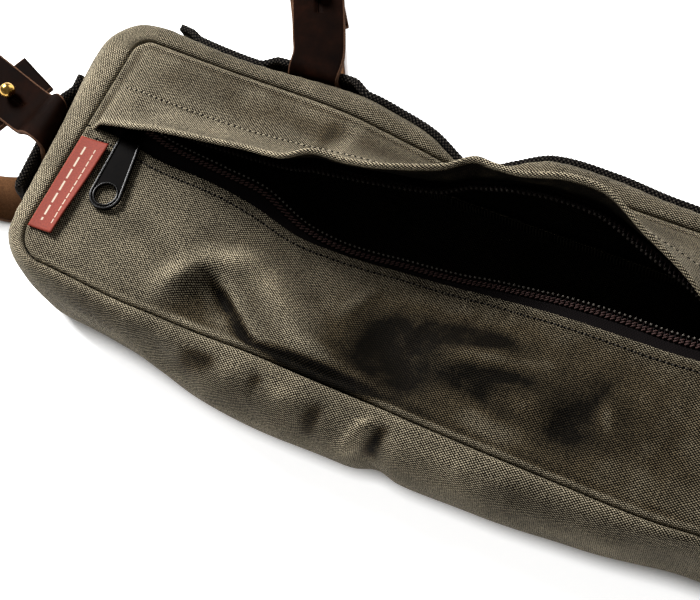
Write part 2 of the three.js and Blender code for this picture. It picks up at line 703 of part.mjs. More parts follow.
const TOP_STRAP = {
  over: [
    { x: -106.5, y: 127.2, z: 48.5, side: 27 },
    { x: -99, y: 112.8, z: 48.5, side: 27 },
    { x: -91, y: 97.3, z: 48.5, side: 27 },
    { x: -85.2, y: 86, z: 48.5, side: 22 },
    { x: -82, y: 79.5, z: 48.6, side: 12 },
    { x: -80.8, y: 75.5, z: 48.6, side: 5 },
    { x: -80.2, y: 71, z: 48.3, side: 0 },
    { x: -80, y: 68.2, z: 46.6, side: 0 },
  ],
  behind: (height, w) => ({ x: TOP_STRAP_X + w, y: HALF_HEIGHT, nx: 0, ny: 1 }),
  foot: [
    { x: -80.4, y: 66.2, z: 5, side: 10 },
    { x: -81, y: 68.6, z: 1.6, side: 24 },
  ],
  roll: { x: -81, y: 68, heading: 120, out: 122.7, start: 60, first: 5, slack: 3, length: 170 },
  stud: { x: -95, y: 105, z: 48.5, slit: -63 },
};

// Slider: a body with a small arch that holds the pull's bar
const SLIDER = { x: -136.7, y: 19, z: 49.6, long: 12.6, wide: 11.2, tall: 4.8 };
const PULL = {
  x: -134.2, y: 17.3, z: 56.05, turn: 5.9, length: 43, wide: 13.8, thick: 1.6, hole: 4.7,
  neck: 7.5, shoulder: 9.8,
};
const ARCH = { span: 6.4, rise: 3.9, wide: 2.6, holeSpan: 3, holeRise: 2.5 };

function slider() {
  const outline = new THREE.Shape();
  const l = SLIDER.long / 2;
  const w = SLIDER.wide / 2;
  outline.moveTo(-l, -w * 0.6).lineTo(-l * 0.5, -w).lineTo(l, -w);
  outline.lineTo(l, w).lineTo(-l * 0.5, w).lineTo(-l, w * 0.6);
  outline.closePath();
  const body = new THREE.ExtrudeGeometry(outline, { depth: SLIDER.tall, bevelEnabled: false });
  body.translate(SLIDER.x, SLIDER.y, SLIDER.z);
  const h = ARCH.span / 2;
  const k = ARCH.holeSpan / 2;
  const side = new THREE.Shape();
  side.moveTo(-h, -0.4).lineTo(h, -0.4).lineTo(h, ARCH.rise - 1).lineTo(h - 1, ARCH.rise);
  side.lineTo(-h + 1, ARCH.rise).lineTo(-h, ARCH.rise - 1).closePath();
  const hole = new THREE.Path();
  const holeTop = 0.4 + ARCH.holeRise;
  hole.moveTo(-k, 0.4).lineTo(-k, holeTop).lineTo(k, holeTop).lineTo(k, 0.4).closePath();
  side.holes.push(hole);
  const arch = new THREE.ExtrudeGeometry(side, { depth: ARCH.wide, bevelEnabled: false });
  arch.translate(0, 0, -ARCH.wide / 2).rotateX(Math.PI / 2).rotateZ(Math.PI / 2 + PULL.turn * DEG);
  arch.translate(PULL.x, PULL.y, SLIDER.z + SLIDER.tall);
  return geometryOf(solidOf(mergeVertices(plain(body))).add(solidOf(mergeVertices(plain(arch)))));
}

// Pull: a plate that widens from a window for the arch to a large round eye
function pull() {
  const w = PULL.wide / 2;
  const n = PULL.neck / 2;
  const s = PULL.shoulder / 2;
  const shape = new THREE.Shape();
  shape.moveTo(-n, 0.75).lineTo(-n, -4).lineTo(-s, -8).lineTo(-w, w - PULL.length);
  shape.absarc(0, w - PULL.length, w, Math.PI, 2 * Math.PI, false);
  shape.lineTo(s, -8).lineTo(n, -4).lineTo(n, 0.75).closePath();
  const window = new THREE.Path();
  const half = ARCH.wide / 2 + 0.5;
  window.moveTo(-half, -0.75).lineTo(half, -0.75).lineTo(half, -4.8).lineTo(-half, -4.8).closePath();
  const eye = new THREE.Path();
  eye.absarc(0, w - PULL.length, PULL.hole, 0, 2 * Math.PI, true);
  shape.holes.push(window, eye);
  const plate = new THREE.ExtrudeGeometry(
    shape,
    { depth: PULL.thick, bevelEnabled: false, curveSegments: 6 },
  );
  return plate.translate(0, 0, -PULL.thick / 2).rotateZ(PULL.turn * DEG).translate(PULL.x, PULL.y, PULL.z);
}

// Label: sewn in at the left seam, its free edge a little lifted
function label() {
  const rows = [{ y: 1.8, left: -154.2, right: -140.2 }, { y: -43, left: -154.2, right: -142.6 }];
  return strip(4, 4, (u, v) => {
    const t = 1 - v;
    const left = rows[0].left + (rows[1].left - rows[0].left) * t;
    const right = rows[0].right + (rows[1].right - rows[0].right) * t;
    const rise = LABEL.lift * u * u;
    const x = left + (right - left) * u;
    const y = rows[0].y + (rows[1].y - rows[0].y) * t;
    return new THREE.Vector3(x, y, DEPTH + LABEL.gap + LABEL.thick + rise);
  }, LABEL.thick);
}

// Positions alone, so that vertices shared by faces can be joined
function plain(geometry) {
  const bare = new THREE.BufferGeometry();
  bare.setAttribute('position', geometry.getAttribute('position'));
  if (geometry.getIndex()) bare.setIndex(geometry.getIndex());
  return bare;
}

function solidOf(geometry) {
  const position = geometry.getAttribute('position');
  const index = geometry.getIndex();
  const mesh = new kernel.Mesh({
    numProp: 3,
    vertProperties: new Float32Array(position.array),
    triVerts: new Uint32Array(index.array),
  });
  return new kernel.Manifold(mesh);
}

function geometryOf(solid) {
  const mesh = solid.getMesh();
  const geometry = new THREE.BufferGeometry();
  const positions = [];
  for (let i = 0; i < mesh.numVert; i += 1) {
    for (let k = 0; k < 3; k += 1) positions.push(mesh.vertProperties[i * mesh.numProp + k]);
  }
  geometry.setAttribute('position', new THREE.Float32BufferAttribute(positions, 3));
  geometry.setIndex([...mesh.triVerts]);
  return geometry;
}

const group = new THREE.Group();
group.name = 'tube_bag';

function add(name, geometry, color, roughness = 0.9, metalness = 0) {
  const mesh = new THREE.Mesh(geometry, new THREE.MeshStandardMaterial({ color, roughness, metalness }));
  mesh.name = name;
  group.add(mesh);
  return mesh;
}

const COLORS = {
  canvas: '#6f6c58', tape: '#2a2228', coil: '#1c191c', webbing: '#17171a',
  leather: '#3a2a22', brass: '#b98d45', black: '#101012', red: '#a32a2c',
};

add('gusset', gusset(), COLORS.canvas);
add('back_panel', backPanel(), COLORS.canvas);
add('lower_panel', lowerPanel(), COLORS.canvas);
add('upper_panel', upperPanel(), COLORS.canvas);
add('zip_tape_lower', lowerTape(), COLORS.tape);
add('zip_tape_upper', upperTape(), COLORS.tape);
add('zip_coil_lower', lowerCoil(), COLORS.coil, 0.5);
add('zip_coil_upper', upperCoil(), COLORS.coil, 0.5);
add('webbing_top', topWebbing(), COLORS.webbing);
add('webbing_end', endWebbing(), COLORS.webbing);

add('zip_slider', slider(), COLORS.black, 0.4, 0.6);
add('zip_pull', pull(), COLORS.black, 0.25, 0.2);
add('label', label(), COLORS.red);
add('end_strap', strap(END_STRAP), COLORS.leather, 0.6);
add('end_stud', stud(END_STRAP), COLORS.brass, 0.3, 1);
add('top_strap', strap(TOP_STRAP), COLORS.leather, 0.6);
add('top_stud', stud(TOP_STRAP), COLORS.brass, 0.3, 1);

export default group;
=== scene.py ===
import math
import bpy
import numpy as np
from mathutils import Matrix, Vector


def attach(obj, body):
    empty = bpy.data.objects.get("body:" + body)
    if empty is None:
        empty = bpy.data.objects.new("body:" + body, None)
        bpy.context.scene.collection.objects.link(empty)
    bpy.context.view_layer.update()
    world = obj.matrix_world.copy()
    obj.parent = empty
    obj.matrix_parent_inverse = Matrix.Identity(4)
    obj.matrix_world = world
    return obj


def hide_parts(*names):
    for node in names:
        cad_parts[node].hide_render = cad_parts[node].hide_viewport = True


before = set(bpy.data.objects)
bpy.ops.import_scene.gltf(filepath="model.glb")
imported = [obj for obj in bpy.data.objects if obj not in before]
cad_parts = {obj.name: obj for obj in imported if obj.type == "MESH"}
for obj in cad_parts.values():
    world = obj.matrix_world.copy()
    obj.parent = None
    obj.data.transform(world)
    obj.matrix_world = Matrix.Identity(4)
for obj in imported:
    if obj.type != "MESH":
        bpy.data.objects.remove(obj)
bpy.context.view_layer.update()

mm = 0.001

# Camera, fitted to the front's left corners and long seams, and scaled by the pitch of the zip
shot = {
    "eye": (0.11971, -0.17509, 0.51049),
    "forward": (-0.2746, 0.30635, -0.91145),
    "up": (-0.35262, 0.84977, 0.39185),
    "lens": 66.86, "sensor": 36,  # mm
    "nearest": 0.01,  # metres
}


def addObject(name, data):
    made = bpy.data.objects.new(name, data)
    bpy.context.scene.collection.objects.link(made)
    return made


def placeCamera():
    forward = Vector(shot["forward"]).normalized()
    up = Vector(shot["up"])
    up = (up - forward * up.dot(forward)).normalized()
    right = forward.cross(up)
    data = bpy.data.cameras.new("photoCamera")
    data.lens = shot["lens"]
    data.sensor_width = shot["sensor"]
    data.clip_start = shot["nearest"]
    camera = addObject("photoCamera", data)
    turn = Matrix((right, up, -forward)).transposed().to_4x4()
    camera.matrix_world = Matrix.Translation(shot["eye"]) @ turn
    bpy.context.scene.camera = camera


placeCamera()

# Soft daylight from the upper left of the picture, and a pale floor that blows out to white
studio = {
    "keyFrom": (-1.0, 0.40, 0.86), "keyReach": 1.4, "keySize": 0.5, "keyPower": 40,
    "fillFrom": (0.2, 1.0, 0.45), "fillReach": 1.5, "fillSize": 1.0, "fillPower": 8,
    "sky": 0.18,
    "floorGlow": 0.86,  # the floor glows, because it is white in the photograph
    "floorHalf": 2.5, "floorDrop": 0.0003,  # metres
    "floorClouds": 9.0,  # to the metre, about 110 mm each
    "contact": 0.009,  # metres from the bag in which the glow is shaded
}


def addLamp(name, fromWay, reach, size, power):
    data = bpy.data.lights.new(name, "AREA")
    data.size = size
    data.energy = power
    lamp = addObject(name, data)
    way = Vector(fromWay).normalized()
    lamp.location = way * reach
    lamp.rotation_euler = way.to_track_quat("Z", "Y").to_euler()


addLamp("windowKey", studio["keyFrom"], studio["keyReach"], studio["keySize"], studio["keyPower"])
addLamp("wallFill", studio["fillFrom"], studio["fillReach"], studio["fillSize"], studio["fillPower"])
world = bpy.context.scene.world or bpy.data.worlds.new("studio")
bpy.context.scene.world = world
world.use_nodes = True
world.node_tree.nodes["Background"].inputs["Color"].default_value = (1, 1, 1, 1)
world.node_tree.nodes["Background"].inputs["Strength"].default_value = studio["sky"]
bpy.context.scene.view_settings.view_transform = "Standard"
print("camera and light placed")


# Materials

def tint(hexColour):
    parts = [int(hexColour[i:i + 2], 16) / 255 for i in (1, 3, 5)]
    return tuple(c / 12.92 if c <= 0.04045 else ((c + 0.055) / 1.055) ** 2.4 for c in parts) + (1,)


def setStops(elements, stops):
    while len(elements) < len(stops):
        elements.new(0.5)
    for element, (place, colour) in zip(elements, stops):
        element.position = place
        element.color = tint(colour)


def addNode(tree, kind, settings=None, links=None):
    # a setting is a property, a socket's value or the stops of a colour ramp
    made = tree.nodes.new("ShaderNode" + kind)
    for key, value in (settings or {}).items():
        if key == "stops":
            setStops(made.color_ramp.elements, value)
        elif isinstance(key, str) and hasattr(made, key):
            setattr(made, key, value)
        else:
            made.inputs[key].default_value = value
    for key, socket in (links or {}).items():
        tree.links.new(socket, made.inputs[key])
    return made


def newMaterial(name):
    material = bpy.data.materials.new(name)
    material.use_nodes = True
    tree = material.node_tree
    return material, tree, tree.nodes["Principled BSDF"]


def crossings(tree, pitchU, pitchV, wander):
    # plain weave: +1 where the warp lies on top, -1 where the weft does; threads wander a little
    uv = addNode(tree, "UVMap", {"uv_map": "cloth"})
    drift = addNode(tree, "TexNoise", {"Scale": 0.16, "Detail": 2.0}, {"Vector": uv.outputs[0]})
    shifted = addNode(tree, "VectorMath", {"operation": "MULTIPLY_ADD", 1: (wander, wander, 0)},
                      {0: drift.outputs["Color"], 2: uv.outputs[0]})
    parts = addNode(tree, "SeparateXYZ", {}, {0: shifted.outputs[0]})
    waves = []
    for part, pitch in (("X", pitchU), ("Y", pitchV)):
        turned = addNode(tree, "Math", {"operation": "MULTIPLY", 1: math.pi / pitch},
                         {0: parts.outputs[part]})
        waves.append(addNode(tree, "Math", {"operation": "SINE"}, {0: turned.outputs[0]}).outputs[0])
    product = addNode(tree, "Math", {"operation": "MULTIPLY"}, {0: waves[0], 1: waves[1]})
    return uv.outputs[0], product.outputs[0]


# Waxed cotton canvas, woven plain and soaked in wax: pale thread tops over dark gaps,
# cloudy wax, paler along ridges and darker in creases (partly rubbing and wax, partly painted highlight and
# painted shade), a dull low sheen
canvasLook = {
    "warp": 0.7, "weft": 0.55,  # mm from thread to thread, chosen so that the weave shows
    "wander": 0.9,  # mm that a thread strays
    "gap": "#020201", "body": "#1c1711", "top": "#a89c83",
    "waxed": "#a9a194", "soakedShade": "#35312a",  # tints of the darker cloth: wax lying thin and thick, and painted shade in creases and under dark marks
    "wearAndHighlightGain": 1.9,  # how much paler the palest cloth is, where rubbing and painted highlight lie
    "patches": 0.36,  # how uneven the rubbing is
    "relief": 0.22,  # mm of bump
}


def waxedCanvas(name, darker=1.0):
    look = canvasLook
    material, tree, shader = newMaterial(name)
    uv, weave = crossings(tree, look["warp"], look["weft"], look["wander"])
    slub = addNode(tree, "TexNoise", {"Scale": 0.9, "Detail": 3.0, "Roughness": 0.75}, {"Vector": uv})
    lifted = addNode(tree, "Math", {"operation": "MULTIPLY_ADD", 1: 0.66, 2: -0.16}, {0: weave})
    height = addNode(tree, "Math", {"operation": "MULTIPLY_ADD", 1: 1.3},
                     {0: slub.outputs["Fac"], 2: lifted.outputs[0]})
    threads = addNode(tree, "ValToRGB",
                      {"stops": [(0.12, look["gap"]), (0.5, look["body"]), (0.98, look["top"])]},
                      {"Fac": height.outputs[0]})
    # clouds of wax, about 30 mm across and finer
    cloud = addNode(tree, "TexNoise", {"Scale": 0.035, "Detail": 4.0, "Roughness": 0.6}, {"Vector": uv})
    cloudShade = addNode(tree, "MapRange",
                         {"From Min": 0.32, "From Max": 0.68, "To Min": 0.7, "To Max": 1.16},
                         {"Value": cloud.outputs["Fac"]})
    clouded = addNode(tree, "VectorMath", {"operation": "SCALE"},
                      {0: threads.outputs["Color"], "Scale": cloudShade.outputs[0]})
    # paler on ridges and pale marks, darker in hollows and dark marks: partly rubbing and wax, partly painted
    # highlight and painted shade
    rub = addNode(tree, "Attribute", {"attribute_name": "rub"})
    patchy = addNode(tree, "TexNoise", {"Scale": 0.09, "Detail": 5.0, "Roughness": 0.65}, {"Vector": uv})
    uneven = addNode(tree, "Math",
                     {"operation": "MULTIPLY_ADD", 1: look["patches"], 2: -look["patches"] / 2},
                     {0: patchy.outputs["Fac"]})
    touched = addNode(tree, "Math", {"operation": "ADD"}, {0: rub.outputs["Fac"], 1: uneven.outputs[0]})
    raised = addNode(tree, "MapRange",
                     {"From Min": 0.5, "From Max": 1.0, "To Min": 1.0, "To Max": look["wearAndHighlightGain"]},
                     {"Value": touched.outputs[0]})
    pale = addNode(tree, "VectorMath", {"operation": "SCALE"},
                   {0: clouded.outputs[0], "Scale": raised.outputs[0]})
    hollow = addNode(tree, "MapRange", {"From Min": 0.5, "From Max": 0.0}, {"Value": touched.outputs[0]})
    wax = addNode(tree, "ValToRGB",
                  {"stops": [(0.0, "#ffffff"), (0.5, look["waxed"]), (1.0, look["soakedShade"])]},
                  {"Fac": hollow.outputs[0]})
    colour = addNode(tree, "VectorMath", {"operation": "MULTIPLY"},
                     {0: pale.outputs[0], 1: wax.outputs["Color"]}).outputs[0]
    if darker != 1.0:
        colour = addNode(tree, "VectorMath", {"operation": "SCALE", "Scale": darker}, {0: colour}).outputs[0]
    tree.links.new(colour, shader.inputs["Base Color"])
    rough = addNode(tree, "MapRange", {"To Min": 0.9, "To Max": 0.66}, {"Value": height.outputs[0]})
    tree.links.new(rough.outputs[0], shader.inputs["Roughness"])
    shader.inputs["Specular IOR Level"].default_value = 0.05
    bump = addNode(tree, "Bump", {"Strength": 0.85, "Distance": look["relief"] * mm},
                   {"Height": height.outputs[0]})
    tree.links.new(bump.outputs[0], shader.inputs["Normal"])
    return material


canvasCloth = waxedCanvas("waxedCanvasWoven")
canvasInsideShade = waxedCanvas("waxedCanvasInside", 0.1)  # back of the cloth at a tenth of the brightness: painted shade, so the bag's inside and turned edges read black


# Cotton webbing, woven thick: near-black strands, faintly grey where they stand up
webbingLook = {"low": "#020202", "body": "#0b0a09", "high": "#4a443e", "pitch": 0.9, "wander": 0.5}


def cottonWebbing():
    material, tree, shader = newMaterial("cottonWebbingWoven")
    uv, weave = crossings(tree, webbingLook["pitch"], webbingLook["pitch"], webbingLook["wander"])
    fuzz = addNode(tree, "TexNoise", {"Scale": 1.6, "Detail": 4.0}, {"Vector": uv})
    rub = addNode(tree, "Attribute", {"attribute_name": "rub"})
    height = addNode(tree, "Math", {"operation": "MULTIPLY_ADD", 1: 0.4}, {0: weave, 2: fuzz.outputs["Fac"]})
    mixed = addNode(tree, "Math", {"operation": "MULTIPLY_ADD", 1: 0.2},
                    {0: rub.outputs["Fac"], 2: height.outputs[0]})
    strands = [(0.35, webbingLook["low"]), (0.72, webbingLook["body"]), (1.0, webbingLook["high"])]
    colour = addNode(tree, "ValToRGB", {"stops": strands}, {"Fac": mixed.outputs[0]})
    tree.links.new(colour.outputs["Color"], shader.inputs["Base Color"])
    shader.inputs["Roughness"].default_value = 0.85
    shader.inputs["Specular IOR Level"].default_value = 0.05
    bump = addNode(tree, "Bump", {"Strength": 0.7, "Distance": 0.2 * mm}, {"Height": height.outputs[0]})
    tree.links.new(bump.outputs[0], shader.inputs["Normal"])
    return material


# Bridle leather, rolled smooth and greased: deep red-brown, fine pores, hardly any gloss
leatherLook = {
    "deep": "#060201", "body": "#100603", "light": "#1e0d07",
    "suedeDeep": "#4a301d", "suede": "#7a5638", "edge": "#6a4c38",
    "pore": 0.7,  # mm
    "clouds": 60.0, "fibres": 900.0, "edgeFibres": 1500.0,  # to the metre: about 17, 1.1 and 0.7 mm each
}


def bridleLeather():
    material, tree, shader = newMaterial("bridleLeatherSmooth")
    place = addNode(tree, "TexCoord")
    cloud = addNode(tree, "TexNoise", {"Scale": leatherLook["clouds"], "Detail": 5.0, "Roughness": 0.65},
                    {"Vector": place.outputs["Object"]})
    browns = [(0.3, leatherLook["deep"]), (0.52, leatherLook["body"]), (0.75, leatherLook["light"])]
    colour = addNode(tree, "ValToRGB", {"stops": browns}, {"Fac": cloud.outputs["Fac"]})
    tree.links.new(colour.outputs["Color"], shader.inputs["Base Color"])
    pores = addNode(tree, "TexVoronoi", {"Scale": 1000 / leatherLook["pore"], "feature": "DISTANCE_TO_EDGE"},
                    {"Vector": place.outputs["Object"]})
    dip = addNode(tree, "MapRange", {"From Max": 0.12}, {"Value": pores.outputs["Distance"]})
    bump = addNode(tree, "Bump", {"Strength": 0.25, "Distance": 0.1 * mm}, {"Height": dip.outputs[0]})
    tree.links.new(bump.outputs[0], shader.inputs["Normal"])
    rough = addNode(tree, "MapRange", {"To Min": 0.5, "To Max": 0.75}, {"Value": cloud.outputs["Fac"]})
    tree.links.new(rough.outputs[0], shader.inputs["Roughness"])
    shader.inputs["IOR"].default_value = 1.47
    shader.inputs["Specular IOR Level"].default_value = 0.012  # hardly any shine shows in the photograph
    return material


# Flesh side of the same leather, split and unfinished: tan, fibrous and matt
def leatherFlesh(name, low, high, scale):
    material, tree, shader = newMaterial(name)
    place = addNode(tree, "TexCoord")
    fibre = addNode(tree, "TexNoise", {"Scale": scale, "Detail": 8.0, "Roughness": 0.75, "Distortion": 1.2},
                    {"Vector": place.outputs["Object"]})
    colour = addNode(tree, "ValToRGB", {"stops": [(0.3, low), (0.7, high)]}, {"Fac": fibre.outputs["Fac"]})
    tree.links.new(colour.outputs["Color"], shader.inputs["Base Color"])
    shader.inputs["Roughness"].default_value = 0.95
    shader.inputs["Specular IOR Level"].default_value = 0.1
    bump = addNode(tree, "Bump", {"Strength": 0.8, "Distance": 0.25 * mm}, {"Height": fibre.outputs["Fac"]})
    tree.links.new(bump.outputs[0], shader.inputs["Normal"])
    return material


# Turned brass, polished: warm gold with fine turning rings and a few dull spots
brassLook = {
    "dull": "#9a7432", "bright": "#cfa458",
    "spots": 420.0,  # to the metre, about 2.4 mm each
    "rings": 900.0,  # puts the turning rings 0.35 mm apart
}


def polishedBrass():
    material, tree, shader = newMaterial("turnedBrassPolished")
    place = addNode(tree, "TexCoord")
    tarnish = addNode(tree, "TexNoise", {"Scale": brassLook["spots"], "Detail": 4.0},
                      {"Vector": place.outputs["Object"]})
    golds = [(0.3, brassLook["dull"]), (0.6, brassLook["bright"])]
    colour = addNode(tree, "ValToRGB", {"stops": golds}, {"Fac": tarnish.outputs["Fac"]})
    tree.links.new(colour.outputs["Color"], shader.inputs["Base Color"])
    shader.inputs["Metallic"].default_value = 1.0
    rough = addNode(tree, "MapRange", {"To Min": 0.12, "To Max": 0.34}, {"Value": tarnish.outputs["Fac"]})
    tree.links.new(rough.outputs[0], shader.inputs["Roughness"])
    rings = addNode(tree, "TexWave", {"bands_direction": "Z", "Scale": brassLook["rings"], "Distortion": 0.4},
                    {"Vector": place.outputs["Object"]})
    bump = addNode(tree, "Bump", {"Strength": 0.06, "Distance": 0.03 * mm}, {"Height": rings.outputs["Fac"]})
    tree.links.new(bump.outputs[0], shader.inputs["Normal"])
    return material


# Polyester zip tape, woven: near black, matt, its yarns just showing
tapeLook = {
    "along": 0.55, "across": 0.8,  # mm from yarn to yarn, chosen so that the weave shows
    "wander": 0.2, "low": "#060404", "high": "#160f10",
}


def zipTape():
    material, tree, shader = newMaterial("polyesterTapeWoven")
    uv, weave = crossings(tree, tapeLook["along"], tapeLook["across"], tapeLook["wander"])
    fuzz = addNode(tree, "TexNoise", {"Scale": 2.0, "Detail": 3.0}, {"Vector": uv})
    height = addNode(tree, "Math", {"operation": "MULTIPLY_ADD", 1: 0.35}, {0: weave, 2: fuzz.outputs["Fac"]})
    yarns = [(0.2, tapeLook["low"]), (0.9, tapeLook["high"])]
    colour = addNode(tree, "ValToRGB", {"stops": yarns}, {"Fac": height.outputs[0]})
    tree.links.new(colour.outputs["Color"], shader.inputs["Base Color"])
    shader.inputs["Roughness"].default_value = 0.8
    shader.inputs["Specular IOR Level"].default_value = 0.1
    bump = addNode(tree, "Bump", {"Strength": 0.6, "Distance": 0.12 * mm}, {"Height": height.outputs[0]})
    tree.links.new(bump.outputs[0], shader.inputs["Normal"])
    return material


# Moulded nylon and enamelled zinc: nearly even colour, mottled gloss, faint orange peel
# low and high colour, mm of mottle, least and most roughness, shine
glossLook = {
    "nylonCoilMoulded": ("#0b0706", "#171010", 1.2, 0.28, 0.42, 0.04),
    "zincSliderEnamelled": ("#0d0b0b", "#171313", 0.9, 0.3, 0.45, 0.04),
    "zincPullEnamelled": ("#030202", "#060403", 1.5, 0.3, 0.4, 0.01),
    "zincPullRimRubbed": ("#050404", "#0b0908", 1.5, 0.14, 0.24, 0.2),
    # painted highlight: coil heads in a pale colour as glints, dimmer under the flap for painted shade
    "nylonCoilGlintShaded": ("#1f1c19", "#302b27", 0.8, 0.3, 0.4, 0.04),
    "nylonCoilGlint": ("#6a645d", "#8a837a", 0.8, 0.2, 0.3, 0.04),
    # painted shade: near-black for the needle holes
    "needleHolePaintedShade": ("#020201", "#060403", 0.5, 0.8, 0.9, 0.04),
}


def mouldedGloss(name):
    low, high, grain, roughLow, roughHigh, shine = glossLook[name]
    material, tree, shader = newMaterial(name)
    place = addNode(tree, "TexCoord")
    mottle = addNode(tree, "TexNoise", {"Scale": 1000 / grain, "Detail": 3.0},
                     {"Vector": place.outputs["Object"]})
    colour = addNode(tree, "ValToRGB", {"stops": [(0.35, low), (0.7, high)]}, {"Fac": mottle.outputs["Fac"]})
    tree.links.new(colour.outputs["Color"], shader.inputs["Base Color"])
    rough = addNode(tree, "MapRange", {"To Min": roughLow, "To Max": roughHigh},
                    {"Value": mottle.outputs["Fac"]})
    tree.links.new(rough.outputs[0], shader.inputs["Roughness"])
    shader.inputs["IOR"].default_value = 1.53
    shader.inputs["Specular IOR Level"].default_value = shine
    bump = addNode(tree, "Bump", {"Strength": 0.12, "Distance": 0.05 * mm}, {"Height": mottle.outputs["Fac"]})
    tree.links.new(bump.outputs[0], shader.inputs["Normal"])
    return material


# Spun sewing thread: two plies that twist, drawn as slanted bands about 0.4 mm apart
threadLook = {
    "ply": 1.1,  # mm, the wave's own measure for those bands
    "spunThreadOlive": ("#6a6150", "#b0a48a"),
    "spunThreadDark": ("#14100b", "#3a3226"),
    "spunThreadPlum": ("#2a1818", "#5d3f39"),
}


def spunThread(name):
    low, high = threadLook[name]
    material, tree, shader = newMaterial(name)
    place = addNode(tree, "TexCoord")
    ply = addNode(tree, "TexWave",
                  {"bands_direction": "DIAGONAL", "Scale": 1000 / threadLook["ply"], "Distortion": 2.0},
                  {"Vector": place.outputs["Object"]})
    colour = addNode(tree, "ValToRGB", {"stops": [(0.1, low), (0.8, high)]}, {"Fac": ply.outputs["Fac"]})
    tree.links.new(colour.outputs["Color"], shader.inputs["Base Color"])
    shader.inputs["Roughness"].default_value = 0.7
    bump = addNode(tree, "Bump", {"Strength": 0.4, "Distance": 0.1 * mm}, {"Height": ply.outputs["Fac"]})
    tree.links.new(bump.outputs[0], shader.inputs["Normal"])
    return material


# Woven satin label: brick red weft ribs, plain cream lines along it
labelLook = {"red": "#883524", "deep": "#61231a", "cream": "#bcae9b", "rib": 0.42,
             "lines": [(4.4, 0.42, 6.0), (9.6, 0.26, 3.2)],  # mm from the sewn edge, half width, dash
             "from": 4.0, "to": 40.5, "blank": 0.11}  # mm along the label; share of a dash blank at each end


def wovenLabel():
    material, tree, shader = newMaterial("satinLabelWoven")
    uv = addNode(tree, "UVMap", {"uv_map": "cloth"})
    parts = addNode(tree, "SeparateXYZ", {}, {0: uv.outputs[0]})
    turned = addNode(tree, "Math", {"operation": "MULTIPLY", 1: 2 * math.pi / labelLook["rib"]},
                     {0: parts.outputs["Y"]})
    rib = addNode(tree, "Math", {"operation": "SINE"}, {0: turned.outputs[0]})
    fuzz = addNode(tree, "TexNoise", {"Scale": 1.4, "Detail": 4.0}, {"Vector": uv.outputs[0]})
    height = addNode(tree, "Math", {"operation": "MULTIPLY_ADD", 1: 0.22},
                     {0: rib.outputs[0], 2: fuzz.outputs["Fac"]})
    reds = [(0.2, labelLook["deep"]), (0.7, labelLook["red"])]
    colour = addNode(tree, "ValToRGB", {"stops": reds}, {"Fac": height.outputs[0]}).outputs["Color"]
    for place, half, dash in labelLook["lines"]:
        near = addNode(tree, "Math", {"operation": "COMPARE", 1: place, 2: half}, {0: parts.outputs["X"]})
        step = addNode(tree, "Math", {"operation": "PINGPONG", 1: dash / 2}, {0: parts.outputs["Y"]})
        on = addNode(tree, "Math", {"operation": "GREATER_THAN", 1: dash * labelLook["blank"]},
                     {0: step.outputs[0]})
        low = addNode(tree, "Math", {"operation": "GREATER_THAN", 1: labelLook["from"]},
                      {0: parts.outputs["Y"]})
        high = addNode(tree, "Math", {"operation": "LESS_THAN", 1: labelLook["to"]},
                       {0: parts.outputs["Y"]})
        within = addNode(tree, "Math", {"operation": "MULTIPLY"}, {0: low.outputs[0], 1: high.outputs[0]})
        drawn = addNode(tree, "Math", {"operation": "MULTIPLY"}, {0: near.outputs[0], 1: on.outputs[0]})
        shown = addNode(tree, "Math", {"operation": "MULTIPLY"}, {0: drawn.outputs[0], 1: within.outputs[0]})
        colour = addNode(tree, "Mix", {"data_type": "RGBA", 7: tint(labelLook["cream"])},
                         {0: shown.outputs[0], 6: colour}).outputs[2]
    tree.links.new(colour, shader.inputs["Base Color"])
    shader.inputs["Roughness"].default_value = 0.62
    shader.inputs["Specular IOR Level"].default_value = 0.15
    bump = addNode(tree, "Bump", {"Strength": 0.5, "Distance": 0.12 * mm}, {"Height": height.outputs[0]})
    tree.links.new(bump.outputs[0], shader.inputs["Normal"])
    return material


webbingCloth = cottonWebbing()
leatherSmooth = bridleLeather()
leatherSuede = leatherFlesh("leatherFleshSplit", leatherLook["suedeDeep"], leatherLook["suede"],
                            leatherLook["fibres"])
leatherEdge = leatherFlesh("leatherEdgeCut", leatherLook["light"], leatherLook["edge"],
                           leatherLook["edgeFibres"])
brass = polishedBrass()
tapeCloth = zipTape()
coilNylon = mouldedGloss("nylonCoilMoulded")
sliderEnamel = mouldedGloss("zincSliderEnamelled")
pullEnamel = mouldedGloss("zincPullEnamelled")
pullRubbed = mouldedGloss("zincPullRimRubbed")
coilGlintShaded = mouldedGloss("nylonCoilGlintShaded")
coilGlint = mouldedGloss("nylonCoilGlint")
needleHoleShade = mouldedGloss("needleHolePaintedShade")
canvasThread = spunThread("spunThreadOlive")
hemThread = spunThread("spunThreadDark")
zipThread = spunThread("spunThreadPlum")
labelCloth = wovenLabel()
print("materials made:", len(bpy.data.materials))


# Mesh helpers

def readTable(table, column, at):
    # smooth through the rows, as the part's own tables are
    keys = np.array([row[0] for row in table], float)
    values = np.array([row[column] for row in table], float)
    slopes = np.empty(len(keys))
    slopes[1:-1] = (values[2:] - values[:-2]) / (keys[2:] - keys[:-2])
    slopes[0] = (values[1] - values[0]) / (keys[1] - keys[0])
    slopes[-1] = (values[-1] - values[-2]) / (keys[-1] - keys[-2])
    at = np.clip(np.asarray(at, float), keys[0], keys[-1])
    i = np.clip(np.searchsorted(keys, at, "right") - 1, 0, len(keys) - 2)
    step = keys[i + 1] - keys[i]
    t = (at - keys[i]) / step
    t2, t3 = t * t, t * t * t
    return ((2 * t3 - 3 * t2 + 1) * values[i] + (t3 - 2 * t2 + t) * step * slopes[i]
            + (3 * t2 - 2 * t3) * values[i + 1] + (t3 - t2) * step * slopes[i + 1])


def smooth(t):
    t = np.clip(t, 0, 1)
    return t * t * (3 - 2 * t)


def unit(v):
    return v / np.maximum(np.linalg.norm(v, axis=-1, keepdims=True), 1e-9)


